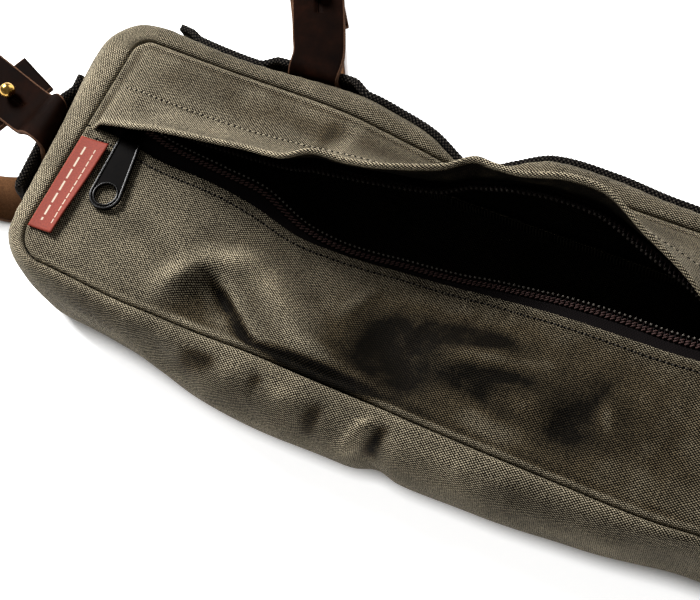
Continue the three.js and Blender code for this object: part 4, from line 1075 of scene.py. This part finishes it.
def upperFrame(x, arc, detail=True):
    # canvas of fixed length laid out from the top seam: place and outward normal
    start, end = upperAngles(x)
    full = halfHeight - bag["seamRoll"] - upperPiece["flapEdge"]
    steps = upperPiece["steps"]
    y = halfHeight - bag["seamRoll"] - readTable(topSide, 1, x)
    z = bag["depth"] - readTable(topSide, 2, x)

    def angleAt(s):
        return np.radians(start + (end - start) * (s / full) ** upperPiece["liftPower"])

    for i in range(steps):
        angle = angleAt(arc * (i + 0.5) / steps)
        y = y - np.cos(angle) * arc / steps
        z = z + np.sin(angle) * arc / steps
    angle = angleAt(arc)
    normal = np.stack([0 * x, np.sin(angle), np.cos(angle)], -1)
    place = np.stack([x + 0 * y, y, z], -1)
    if detail:
        near = np.minimum(arc, innerX - np.abs(x))
        rim = smooth(near / upperPiece["endReach"])
        wave = upperPiece["unevenness"] * ripple(x, arc, upperPiece["waveSize"], 21)
        lift = (foldSum(upperFolds, x, arc) + wave) * rim - seamDip(near)
        # drawn in along the stitches
        drawnIn = np.exp(-((arc - upperPiece["stitchArc"]) / upperPiece["dipReach"]) ** 2)
        place = place + normal * (lift - drawnIn * upperPiece["stitchDip"] * rim)[..., None]
    return place, normal


def makeUpperPanel():
    spec = upperPiece
    full = halfHeight - bag["seamRoll"] - spec["flapEdge"]
    corner = cornerRows(1, np.linspace(0, 90, 9))
    heights = np.concatenate([np.linspace(spec["flapEdge"], corner[0], spec["rows"])[:-1], corner])
    s = np.linspace(-1, 1, spec["columns"])
    x = innerX * s
    edge, normal = upperFrame(x, full + 0 * x)
    onward = np.stack([0 * x, -normal[:, 2], normal[:, 1]], -1)
    r = spec["foldRound"]
    rows, uvRows = [], []
    # under layer, back from the stitches to the fold
    for arc in np.linspace(spec["stitchArc"] + spec["underFrom"], full - spec["underEnd"], spec["underRows"]):
        place, out = upperFrame(x, arc + 0 * x)
        rows.append(place - out * 2 * r)
        uvRows.append(np.stack([x, spec["flapEdge"] - spec["underShift"] - (full - arc) + 0 * x], -1))
    for a in np.radians([180, 150, 120, 90, 60, 30]):
        rows.append(edge + onward * r * math.sin(a) - normal * r * (1 - math.cos(a)))
        uvRows.append(np.stack([x, spec["flapEdge"] - r * a + 0 * x], -1))
    first = len(rows)
    for w in heights:
        x = rowHalfWidth(w) * s
        rows.append(upperFrame(x, halfHeight - bag["seamRoll"] - w + 0 * x)[0])
        uvRows.append(np.stack([x, w + 0 * x], -1))
    columns = spec["columns"]
    points = np.stack(rows).reshape(-1, 3)
    uv = np.stack(uvRows).reshape(-1, 2)
    quads = gridQuads(columns, len(rows))
    last = len(rows) - 1
    rightEdge = [j * columns + columns - 1 for j in range(first, last)]
    leftEdge = [j * columns for j in range(last - 1, first - 1, -1)]
    rim = [(i, *rimNormal(*uv[i])) for i in rightEdge]
    rim += [(last * columns + i, 0.0, 1.0) for i in range(columns - 1, -1, -1)]
    rim += [(i, *rimNormal(*uv[i])) for i in leftEdge]
    points, uv, quads = addSkirt(points, uv, quads, rim)
    marks = foldSum(upperMarks, uv[:, 0], halfHeight - bag["seamRoll"] - uv[:, 1])
    fromEdge = uv[:, 1] - spec["flapEdge"]
    # painted shade under the flap, painted highlight on its folded edge
    marks = marks - spec["underShade"] * smooth((-fromEdge - spec["shadeFrom"]) / spec["shadeGrow"])
    marks = marks + spec["edgeHighlight"] * np.exp(-((fromEdge + spec["edgeHighlightAt"]) / spec["edgeHighlightReach"]) ** 2)
    piece = sheetPiece("upper_panel_cloth", points, quads, uv, bag["cloth"],
                       [canvasCloth, canvasInsideShade], 0, marks)
    takeIn(piece, "bag", ["upper_panel"])


makeUpperPanel()
print("upper panel and flap made")


# Back panel: flat on the floor, its edge turned up into the seam
backPiece = {"alongX": 60, "alongY": 20, "perCorner": 8, "rings": 22, "drawIn": 0.7,
             "inmost": 0.02, "puff": 0.25, "puffGrow": 6, "waveSize": 40}


def makeBackPanel():
    spec = backPiece
    loop = seamLoop(spec["alongX"], spec["alongY"], spec["perCorner"])
    px, py, nx, ny = loop.T
    profile = seamTurnProfile(bag["seamRoll"], bag["seamGap"], bag["seamTurn"])[::-1]
    rows = []
    for inset, down in profile:
        rows.append(np.stack([px - nx * inset, py - ny * inset, np.full_like(px, down)], -1))
    flat = np.stack([px - nx * bag["seamRoll"], py - ny * bag["seamRoll"]], -1)
    for share in np.linspace(1, spec["inmost"], spec["rings"]):
        ring = flat * np.array([1 - (1 - share) * spec["drawIn"], share])
        wave = ripple(ring[:, 0], ring[:, 1], spec["waveSize"], 31)
        puff = spec["puff"] * (1 + wave) * smooth((1 - share) * spec["puffGrow"])
        rows.append(np.stack([ring[:, 0], ring[:, 1], puff], -1))
    grid = np.stack(rows)
    points = grid.reshape(-1, 3)
    quads = gridQuads(len(loop), len(rows), True)[:, ::-1]
    piece = sheetPiece("back_panel_cloth", points, quads, points[:, :2].copy(), bag["cloth"],
                       [canvasCloth, canvasInsideShade])
    takeIn(piece, "bag", ["back_panel"])


makeBackPanel()
print("back panel made")


# Stitches that hold the flap and the zip's folded edge
stitching = {"pitch": 2.5, "length": 1.7, "radius": 0.34, "bow": 0.26, "hole": 1.2, "holeRadius": 0.42,
             "fromLip": 3.8, "fromEnd": 4, "samples": 900, "aside": 0.5}


def evenPlaces(line, pitch):
    # places a fixed pitch apart along a line of points, and the way the line runs there
    run = runAlong(line)
    places = pointsAt(np.arange(pitch / 2, run[-1], pitch), run, line)
    return places, unit(np.gradient(places, axis=0))


def sewRow(name, places, ways, normals, thread):
    spec = stitching
    row = stitchPiece(name + "_stitches", places, ways, normals,
                      spec["length"], spec["radius"], spec["bow"], thread)
    takeIn(row, "bag", [])
    # painted shade: near-black needle holes between the stitches
    between = (places[1:] + places[:-1]) / 2
    holes = stitchPiece(name + "_needle_holes", between, ways[1:], normals[1:],
                        spec["hole"], spec["holeRadius"], 0.0, needleHoleShade)
    takeIn(holes, "bag", [])


def makeStitches():
    spec = stitching
    x = np.linspace(-innerX + spec["fromEnd"], innerX - spec["fromEnd"], spec["samples"])
    arc = upperPiece["stitchArc"] + 0 * x
    line, out = upperFrame(x, arc)
    places, ways = evenPlaces(line, spec["pitch"])
    normals = unit(pointsAt(places[:, 0], x, out))
    sewRow("flap", places, ways, normals, canvasThread)
    w = lowerPiece["lipEdge"] - spec["fromLip"] + 0 * x
    line = lowerPlace(x, w)
    across = unit(lowerPlace(x, w + spec["aside"]) - lowerPlace(x, w - spec["aside"]))
    out = unit(np.cross(unit(np.gradient(line, axis=0)), across))
    places, ways = evenPlaces(line, spec["pitch"])
    normals = unit(pointsAt(places[:, 0], x, out))
    sewRow("hem", places, ways, normals, hemThread)


makeStitches()
print("stitches made")

# Zip: a tape under each edge, a nylon coil along it and the thread that sews the coil down
zipPiece = {
    "left": -130, "right": 138, "tape": 1.0, "tuck": 6, "drop": 0.6, "canvas": 1.5, "slope": 0.25,
    "tapeThick": 0.7, "tapeEdge": 0.3, "tapeRows": 240, "lowerHalf": 144, "upperHalf": 142,
    "leftCut": 5, "cutFrom": 2, "cutGrow": 4,  # the upper tape is shorter at its left end
    "upperFrom": 20, "upperLong": 11.5, "upperDepth": 2.1,
    "swing": 10, "endSwing": 18, "swingFrom": 150, "swingGrow": 50,
    "pitch": 2.1, "coilWide": 1.75, "coilTall": 0.95, "wire": 0.43, "perTurn": 14, "coilRows": 1200,
    "clear": 1.9, "coilDrop": 0.5,
    "threadRows": (-1.15, -0.1), "threadLong": 2.0, "threadRadius": 0.34, "threadBow": 0.12,
    "threadClear": 0.05, "threadSlant": (0.86, 0.5),
    "headOut": 0.1, "headUp": 0.3, "headLong": 1.1, "headThick": 0.08, "headBow": 0.05,
}


def lipPlace(x, past):
    lip = lowerPlace(x, lowerPiece["lipEdge"] + 0 * x)
    inside = lowerPlace(x, lowerPiece["lipEdge"] - zipPiece["tuck"] + 0 * x)
    slope = (lip[:, 2] - inside[:, 2]) / (lip[:, 1] - inside[:, 1])
    under = (zipPiece["canvas"] + zipPiece["drop"]) * np.hypot(1, slope)
    place = lip + (inside - lip) * np.clip(-past / zipPiece["tuck"], 0, 1)[:, None]
    place[:, 1] += np.maximum(past, 0)
    place[:, 2] += zipPiece["slope"] * np.maximum(past, 0) - under
    return place


def hangPlace(x, along, deeper):
    # the upper tape swings inward from where it is sewn under the flap: place, and the way it hangs
    spec = zipPiece
    start, out = upperFrame(x, spec["upperFrom"] + 0 * x, False)
    under = -out
    onward = np.stack([0 * x, -out[:, 2], out[:, 1]], -1)
    inward = smooth((spec["swingFrom"] - np.abs(x)) / spec["swingGrow"])
    swing = np.radians(spec["endSwing"] + (spec["swing"] - spec["endSwing"]) * inward)[:, None]
    way = onward * np.cos(swing) + under * np.sin(swing)
    below = under * np.cos(swing) - onward * np.sin(swing)
    return start + under * spec["upperDepth"] + way * np.asarray(along + 0 * x)[:, None] + below * deeper, way


def makeTapes():
    spec = zipPiece
    thick = spec["tape"] * spec["tapeThick"]
    x = np.linspace(-spec["lowerHalf"], spec["lowerHalf"], spec["tapeRows"])
    reach = readTable(lipLine, 3, x)
    columns = [lipPlace(x, -spec["tuck"] * (1 - t) + 0 * x) for t in (0, 0.33, 0.66)]
    columns += [lipPlace(x, reach * t) for t in (0, 0.25, 0.5, 0.75, 1)]
    grid = np.stack(columns[::-1], 1)  # across from the coil back under the panel, so that the outside is up
    tape = bandPiece("zip_tape_lower_cloth", grid, thick, spec["tapeEdge"], [tapeCloth])
    takeIn(tape, "bag", ["zip_tape_lower"])
    x = np.linspace(-spec["upperHalf"], spec["upperHalf"], spec["tapeRows"])
    cut = spec["leftCut"] * smooth((spec["left"] + spec["cutFrom"] - x) / spec["cutGrow"])
    long = spec["upperLong"] - cut
    grid = np.stack([hangPlace(x, long * t, 0)[0] for t in np.linspace(0, 1, 7)], 1)
    tape = bandPiece("zip_tape_upper_cloth", grid, thick, spec["tapeEdge"], [tapeCloth])
    takeIn(tape, "bag", ["zip_tape_upper"])


makeTapes()


def makeCoil(name, line, sideLine, node):
    spec = zipPiece
    run = runAlong(line)
    turns = int(run[-1] / spec["pitch"])
    at = np.linspace(0, run[-1], turns * spec["perTurn"])
    centre = pointsAt(at, run, line)
    side = pointsAt(at, run, sideLine)
    along = unit(np.gradient(centre, axis=0))
    side = unit(side - along * np.einsum("ij,ij->i", side, along)[:, None])
    up = np.cross(along, side)
    phase = 2 * np.pi * at / spec["pitch"]
    path = (centre + side * (spec["coilWide"] * np.cos(phase))[:, None]
            + up * (spec["coilTall"] * np.sin(phase))[:, None])
    coil = tubePiece(name, path, up, spec["wire"], 7, [coilNylon])
    takeIn(coil, "bag", [node])
    return centre, side, up


def coilHeads(name, centre, side, up, tip):
    # the outer bend of every turn of a coil, in a pale colour: painted highlight, dimmer on the upper coil
    # for painted shade
    spec = zipPiece
    turn = slice(0, None, spec["perTurn"])
    places = centre[turn] + side[turn] * (spec["coilWide"] + spec["headOut"]) + up[turn] * spec["headUp"]
    row = stitchPiece("coil_heads_" + name, places, up[turn], side[turn],
                      spec["headLong"], spec["wire"] + spec["headThick"], spec["headBow"], tip)
    takeIn(row, "bag", [])


def makeZip():
    spec = zipPiece
    x = np.linspace(spec["left"], spec["right"], spec["coilRows"])
    line = lipPlace(x, readTable(lipLine, 3, x) + spec["clear"])
    line[:, 2] -= spec["coilDrop"]
    sideLine = np.tile([0, 1, spec["slope"]], (len(x), 1))
    centre, side, up = makeCoil("zip_coil_lower_nylon", line, sideLine, "zip_coil_lower")
    above = up * (spec["coilTall"] + spec["wire"] + spec["threadClear"])
    onward, aside = spec["threadSlant"]
    for k, shift in enumerate(spec["threadRows"]):
        places, ways = evenPlaces(centre + side * shift + above, spec["pitch"])
        pick = np.linspace(0, len(side) - 1, len(places)).astype(int)
        slant = unit(ways * onward + side[pick] * aside)
        row = stitchPiece(f"coil_thread_{k}", places, slant, up[pick],
                          spec["threadLong"], spec["threadRadius"], spec["threadBow"], zipThread)
        takeIn(row, "bag", [])
    coilHeads("lower", centre, side, up, coilGlint)
    place, way = hangPlace(x, spec["upperLong"] + spec["clear"], spec["coilDrop"])
    centre, side, up = makeCoil("zip_coil_upper_nylon", place, way, "zip_coil_upper")
    coilHeads("upper", centre, side, up, coilGlintShaded)


makeZip()
print("zip made")

# Webbing sewn along the top side and across one end, standing off where a strap passes behind it
webbing = {
    "low": 0.2, "high": 0.8, "rows": 18, "half": 147, "endFrom": 33, "endTo": -27, "thick": 3.2, "edge": 1.2,
    "gap": 0.35, "bump": 3.7, "bumpGrow": 9, "step": 0.42,
    "strand": 1.9, "zigzag": 9.0, "slant": 0.9, "relief": 0.5, "sunk": 0.6,
    "topStrap": (-80, 26), "endStrap": (-2, 30),  # centre of the strap behind it, and half its reach
    "tailFrom": -134, "tailLift": 1.6, "tailGrow": 8,
}


def standOff(along, centre, reach):
    return webbing["gap"] + webbing["bump"] * smooth((reach - np.abs(along - centre)) / webbing["bumpGrow"])


def webbingRelief(u, v):
    # herringbone of slanted strands
    spec = webbing
    zigzag = np.abs(np.mod(v, spec["zigzag"]) - spec["zigzag"] / 2)
    strands = np.abs(np.sin(np.pi * (u + spec["slant"] * zigzag) / spec["strand"]))
    return spec["relief"] * (strands - spec["sunk"])


def makeWebbing():
    spec = webbing
    heights = np.linspace(spec["low"], spec["high"], spec["rows"])
    x = np.arange(-spec["half"], spec["half"], spec["step"])
    gridX, gridH = np.meshgrid(x, heights, indexing="ij")
    one = np.ones_like(gridX)
    tail = spec["tailLift"] * smooth((spec["tailFrom"] - gridX) / spec["tailGrow"]) ** 2
    lift = standOff(gridX, *spec["topStrap"]) + spec["thick"] + tail
    grid = offGusset(gridX, halfHeight * one, 0 * one, one, gridH, lift)
    piece = bandPiece("webbing_top_cotton", grid, spec["thick"], spec["edge"], [webbingCloth], webbingRelief)
    takeIn(piece, "bag", ["webbing_top"])
    y = np.arange(spec["endFrom"], spec["endTo"], -spec["step"])
    gridY, gridH = np.meshgrid(y, heights, indexing="ij")
    one = np.ones_like(gridY)
    lift = standOff(gridY, *spec["endStrap"]) + spec["thick"]
    grid = offGusset(-halfLength * one, gridY, -one, 0 * one, gridH, lift)[::-1]
    piece = bandPiece("webbing_end_cotton", grid, spec["thick"], spec["edge"], [webbingCloth], webbingRelief)
    takeIn(piece, "bag", ["webbing_end"])


makeWebbing()
print("webbing made")

# Leather straps: tail, over the stud, in behind the webbing, out on the floor, round and back to the stud
strapCut = {"wide": 23, "thick": 2.5, "gap": 0.35, "behind": 0.45, "floor": 0.3, "edge": 0.7, "step": 1.2,
            "across": 11, "behindAt": (0.78, 0.6, 0.4, 0.2), "rollSteps": 10,
            "slitLong": 9, "slitHalf": 0.3, "slitDown": 2.7, "slitUp": 1}
studPiece = {"head": 3.5, "neck": 1.8, "base": 4.2, "baseThick": 1.1, "chamfer": 0.4, "rise": 3.9,
             "tip": 0.01, "headSteps": 18, "around": 40}
# over and foot rows: x, y, z, direction of the strap's side in degrees
endStrap = {
    "over": [(-230, 21.8, 38, 74), (-215, 17.4, 38, 74), (-199, 12.7, 38, 74), (-191, 10.4, 39.6, 76),
             (-185.2, 9, 45.2, 79), (-180.2, 7.5, 49.4, 83), (-175.5, 6, 49.9, 88), (-172.7, 4.6, 47.4, 93)],
    "behind": lambda h, w: (-halfLength + 0 * w, -12 + 19 * h + w, -1 + 0 * w, 0 * w),
    "foot": [(-172.2, -9.4, 5, 98), (-175, -10.2, 1.6, 104)],
    "roll": {"x": -178, "y": -11, "heading": 199.3, "out": 222.8,
             "start": 22, "first": 4, "slack": 6, "length": 120},
    "stud": (-206.3, 14.8, 38), "slit": -16,
}
topStrap = {
    "over": [(-106.5, 127.2, 48.5, 27), (-99, 112.8, 48.5, 27), (-91, 97.3, 48.5, 27), (-85.2, 86, 48.5, 22),
             (-82, 79.5, 48.6, 12), (-80.8, 75.5, 48.6, 5), (-80.2, 71, 48.3, 0), (-80, 68.2, 46.6, 0)],
    "behind": lambda h, w: (-80 + w, halfHeight + 0 * w, 0 * w, 1 + 0 * w),
    "foot": [(-80.4, 66.2, 5, 10), (-81, 68.6, 1.6, 24)],
    "roll": {"x": -81, "y": 68, "heading": 120, "out": 122.7,
             "start": 60, "first": 5, "slack": 3, "length": 170},
    "stud": (-95, 105, 48.5), "slit": -63,
}


def rolled(roll, radius, along, across):
    # a strap laid flat on the floor, then rolled up and back over itself
    heading, out = math.radians(roll["heading"]), math.radians(roll["out"])
    flatX = along * math.cos(heading) - across * math.sin(heading)
    flatY = along * math.sin(heading) + across * math.cos(heading)
    outX, outY = math.cos(out), math.sin(out)
    onward = flatX * outX + flatY * outY
    aside = -flatX * outY + flatY * outX
    turn = np.clip((onward - roll["start"]) / radius, 0, math.pi)
    past = np.maximum(onward - roll["start"] - math.pi * radius, 0)
    reach = np.minimum(onward, roll["start"]) + radius * np.sin(turn) - past
    return np.stack([roll["x"] + outX * reach - outY * aside, roll["y"] + outY * reach + outX * aside,
                     strapCut["floor"] + radius * (1 - np.cos(turn))], -1)


def strapGrid(spec):
    across = np.linspace(0.5, -0.5, strapCut["across"]) * strapCut["wide"]
    rows = []

    def level(place):
        side = math.radians(place[3])
        way = np.array([math.cos(side), math.sin(side), 0])
        rows.append(np.array(place[:3]) + across[:, None] * way)

    for place in spec["over"]:
        level(place)
    for h in strapCut["behindAt"]:
        rows.append(offGusset(*spec["behind"](h, across), h, strapCut["behind"] + 0 * across))
    for place in spec["foot"]:
        level(place)
    roll = spec["roll"]
    radius = (spec["stud"][2] - strapCut["thick"] - strapCut["gap"] - strapCut["floor"]) / 2
    span = math.pi * radius + 2 * roll["slack"]
    steps = strapCut["rollSteps"]
    turning = roll["start"] - roll["slack"] + span * np.arange(steps + 1) / steps
    for along in [roll["first"], *turning, roll["length"]]:
        rows.append(rolled(roll, radius, along + 0 * across, -across))
    coarse = np.stack(rows)
    middle = coarse[:, strapCut["across"] // 2]
    run = runAlong(middle)
    at = np.arange(0, run[-1], strapCut["step"])
    fine = np.empty((len(at), strapCut["across"], 3))
    for c in range(strapCut["across"]):
        for k in range(3):
            fine[:, c, k] = readTable(list(zip(run, coarse[:, c, k])), 1, at)
    return fine


def cutAway(piece, cutter):
    cut = piece.modifiers.new("cut", "BOOLEAN")
    cut.operation = "DIFFERENCE"
    cut.object = cutter
    cut.solver = "EXACT"
    bpy.context.view_layer.update()
    piece.data = bpy.data.meshes.new_from_object(piece.evaluated_get(bpy.context.evaluated_depsgraph_get()))
    piece.modifiers.clear()
    bpy.data.objects.remove(cutter)


def makeStrap(name, node, spec):
    piece = bandPiece(name, strapGrid(spec), strapCut["thick"], strapCut["edge"],
                      [leatherSmooth, leatherEdge, leatherSuede])
    x, y, z = spec["stud"]
    turn = math.radians(spec["slit"])
    cosTurn, sinTurn = math.cos(turn), math.sin(turn)
    long, half = strapCut["slitLong"], strapCut["slitHalf"]
    corners = [(0, -half), (long, -half), (long, half), (0, half)]
    around = [(x + a * cosTurn - b * sinTurn, y + a * sinTurn + b * cosTurn) for a, b in corners]
    points = [(*p, z - strapCut["slitDown"]) for p in around] + [(*p, z + strapCut["slitUp"]) for p in around]
    faces = [(3, 2, 1, 0), (4, 5, 6, 7), (0, 1, 5, 4), (1, 2, 6, 5), (2, 3, 7, 6), (3, 0, 4, 7)]
    cutter = buildMesh(name + "_cut", np.array(points), faces, np.zeros((8, 2)), [leatherEdge])
    cutAway(piece, cutter)
    takeIn(piece, "bag", [node])


def makeStud(name, node, place):
    spec = studPiece
    under = -2 * strapCut["thick"] - 2 * strapCut["gap"]
    foot = under - spec["baseThick"]
    profile = [(0, foot), (spec["base"] - spec["chamfer"], foot), (spec["base"], foot + spec["chamfer"]),
               (spec["base"], under), (spec["neck"], under)]
    opening = math.asin(spec["neck"] / spec["head"])
    for a in np.linspace(opening, math.pi, spec["headSteps"])[:-1]:
        profile.append((spec["head"] * math.sin(a), spec["rise"] - spec["head"] * math.cos(a)))
    profile.append((0, spec["rise"] + spec["head"]))
    turns = np.arange(spec["around"]) * 2 * np.pi / spec["around"]
    rings = []
    for radius, height in profile:
        wide = max(radius, spec["tip"])
        rings.append(np.stack([place[0] + wide * np.cos(turns), place[1] + wide * np.sin(turns),
                               np.full_like(turns, place[2] + height)], -1))
    points = np.stack(rings).reshape(-1, 3)
    quads = gridQuads(len(turns), len(rings), True)
    faces = [*quads.tolist(), *endCaps(len(turns), len(rings))]
    piece = buildMesh(name, points, faces, points[:, :2], [brass])
    takeIn(piece, "bag", [node])


makeStrap("end_strap_leather", "end_strap", endStrap)
makeStrap("top_strap_leather", "top_strap", topStrap)
makeStud("end_stud_brass", "end_stud", endStrap["stud"])
makeStud("top_stud_brass", "top_stud", topStrap["stud"])
print("straps and studs made")

# Woven label, sewn into the left seam by one long edge, the other a little lifted
labelCut = {"top": 1.8, "bottom": -43, "left": -154.2, "rightTop": -140.2, "rightBottom": -142.6,
            "thick": 0.6, "gap": 0.35, "lift": 1.8, "columns": 16, "rows": 50,
            "wave": 0.3, "waveLong": 6.0, "wavePhase": 0.7}


def makeLabel():
    spec = labelCut
    u, v = np.meshgrid(np.linspace(0, 1, spec["columns"]), np.linspace(0, 1, spec["rows"]))
    right = spec["rightBottom"] + (spec["rightTop"] - spec["rightBottom"]) * v
    x = spec["left"] + (right - spec["left"]) * u
    y = spec["bottom"] + (spec["top"] - spec["bottom"]) * v
    wave = spec["wave"] * np.sin(y / spec["waveLong"] + spec["wavePhase"]) * u ** 2
    z = bag["depth"] + spec["gap"] + spec["thick"] + spec["lift"] * u * u + wave
    points = np.stack([x, y, z], -1).reshape(-1, 3)
    uv = np.stack([x - spec["left"], y - spec["bottom"]], -1).reshape(-1, 2)
    quads = gridQuads(spec["columns"], spec["rows"])
    piece = sheetPiece("label_satin", points, quads, uv, spec["thick"], [labelCloth])
    takeIn(piece, "bag", ["label"])


makeLabel()

# Zip pull: a cast plate with a raised rim, a window for the slider's arch and a round eye
pullCast = {
    "x": -134.2, "y": 17.3, "z": 56.05, "turn": 5.9, "length": 43, "wide": 13.8, "thick": 1.6,
    "neck": 7.5, "neckEnd": -4, "shoulder": 9.8, "shoulderAt": -8,
    "bar": 0.75,  # half the bar at the hinge
    "rim": 1.0, "rimUnder": 0.3, "sunk": 0.45, "eye": 4.7, "eyeRim": 0.8, "bodySoft": 0.25, "rimSoft": 0.3,
    "archWide": 2.6, "archPlay": 0.5, "windowEnd": -4.8,
    "sharp": 15,  # degrees between faces that still meet in a soft edge
}


def pullOutline(inset):
    spec = pullCast
    wide, neck, shoulder = (spec[key] / 2 - inset for key in ("wide", "neck", "shoulder"))
    end = spec["wide"] / 2 - spec["length"]
    points = [(-neck, spec["bar"] - inset), (-neck, spec["neckEnd"]), (-shoulder, spec["shoulderAt"])]
    turns = np.linspace(math.pi, 2 * math.pi, 33)
    points += [(wide * math.cos(a), end + wide * math.sin(a)) for a in turns]
    points += [(-x, y) for x, y in points[2::-1]]
    return points


def ringOf(radius, count=32):
    end = pullCast["wide"] / 2 - pullCast["length"]
    return [(radius * math.cos(a), end + radius * math.sin(a)) for a in np.arange(count) * 2 * np.pi / count]


def plateFrom(name, loops, low, high, soften):
    # flat casting from an outline and its holes, between two heights, with softened edges
    curve = bpy.data.curves.new(name, "CURVE")
    curve.dimensions = "2D"
    curve.fill_mode = "BOTH"
    curve.extrude = max((high - low) / 2 - soften, 0.01) * mm
    curve.bevel_depth = soften * mm
    curve.bevel_resolution = 2
    curve.offset = -soften * mm
    for loop in loops:
        spline = curve.splines.new("POLY")
        spline.points.add(len(loop) - 1)
        for point, (x, y) in zip(spline.points, loop):
            point.co = (x * mm, y * mm, 0, 1)
        spline.use_cyclic_u = True
    made = addObject(name, curve)
    bpy.context.view_layer.update()
    mesh = bpy.data.meshes.new_from_object(made.evaluated_get(bpy.context.evaluated_depsgraph_get()))
    bpy.data.objects.remove(made)
    mesh.transform(Matrix.Translation((0, 0, (low + high) / 2 * mm)))
    return mesh


def makePull():
    spec = pullCast
    half, start, end = spec["archWide"] / 2 + spec["archPlay"], -spec["bar"], spec["windowEnd"]
    window = [(-half, start), (half, start), (half, end), (-half, end)]
    low, high = -spec["thick"] / 2, spec["thick"] / 2
    rimLow, soft = low + spec["rimUnder"], spec["rimSoft"]
    hole = ringOf(spec["eye"])
    body = plateFrom("pullBody", [pullOutline(0), window, hole], low, high - spec["sunk"], spec["bodySoft"])
    rim = plateFrom("pullRim", [pullOutline(0), pullOutline(spec["rim"])], rimLow, high, soft)
    eye = plateFrom("pullEye", [ringOf(spec["eye"] + spec["eyeRim"]), hole], rimLow, high, soft)
    joined = bpy.data.meshes.new("zip_pull_cast")
    points, faces, slots = [], [], []
    for mesh, slot in ((body, 0), (rim, 1), (eye, 1)):
        base = len(points)
        points += [tuple(v.co) for v in mesh.vertices]
        faces += [[base + i for i in p.vertices] for p in mesh.polygons]
        slots += [slot] * len(mesh.polygons)
    joined.from_pydata(points, [], faces)
    joined.materials.append(pullEnamel)
    joined.materials.append(pullRubbed)
    joined.polygons.foreach_set("material_index", slots)
    joined.transform(Matrix.Translation((spec["x"] * mm, spec["y"] * mm, spec["z"] * mm))
                     @ Matrix.Rotation(math.radians(spec["turn"]), 4, "Z"))
    joined.polygons.foreach_set("use_smooth", np.ones(len(joined.polygons), bool))
    joined.set_sharp_from_angle(angle=math.radians(spec["sharp"]))
    takeIn(addObject("zip_pull_cast", joined), "zip_pull", ["zip_pull"])


makePull()

# Slider: the solid itself, enamelled, its edges softened
sliderPiece = {"soft": 0.4, "segments": 2}
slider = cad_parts["zip_slider"]
slider.data.materials.clear()
slider.data.materials.append(sliderEnamel)
soften = slider.modifiers.new("softEdges", "BEVEL")
soften.width = sliderPiece["soft"] * mm
soften.segments = sliderPiece["segments"]
print("label, pull and slider made")


# Pale floor
def makeFloor():
    half = studio["floorHalf"]
    mesh = bpy.data.meshes.new("paleFloor")
    corners = [(-half, -half), (half, -half), (half, half), (-half, half)]
    mesh.from_pydata([(x, y, -studio["floorDrop"]) for x, y in corners], [], [(0, 1, 2, 3)])
    material, tree, shader = newMaterial("floorPaintedMatt")
    place = addNode(tree, "TexCoord")
    cloud = addNode(tree, "TexNoise", {"Scale": studio["floorClouds"], "Detail": 3.0},
                    {"Vector": place.outputs["Object"]})
    colour = addNode(tree, "ValToRGB", {"stops": [(0.3, "#f2f2f1"), (0.7, "#f9f9f8")]},
                     {"Fac": cloud.outputs["Fac"]})
    tree.links.new(colour.outputs["Color"], shader.inputs["Base Color"])
    shader.inputs["Roughness"].default_value = 0.9
    shader.inputs["Emission Color"].default_value = (1, 1, 1, 1)
    # painted contact shadow: the glow is dimmed where the bag is near
    near = addNode(tree, "AmbientOcclusion", {"Distance": studio["contact"], "samples": 8})
    glow = addNode(tree, "MapRange", {"From Min": 0.4, "From Max": 0.9, "To Max": studio["floorGlow"]},
                   {"Value": near.outputs["AO"]})
    tree.links.new(glow.outputs[0], shader.inputs["Emission Strength"])
    mesh.materials.append(material)
    addObject("paleFloor", mesh)


makeFloor()
print("floor made")
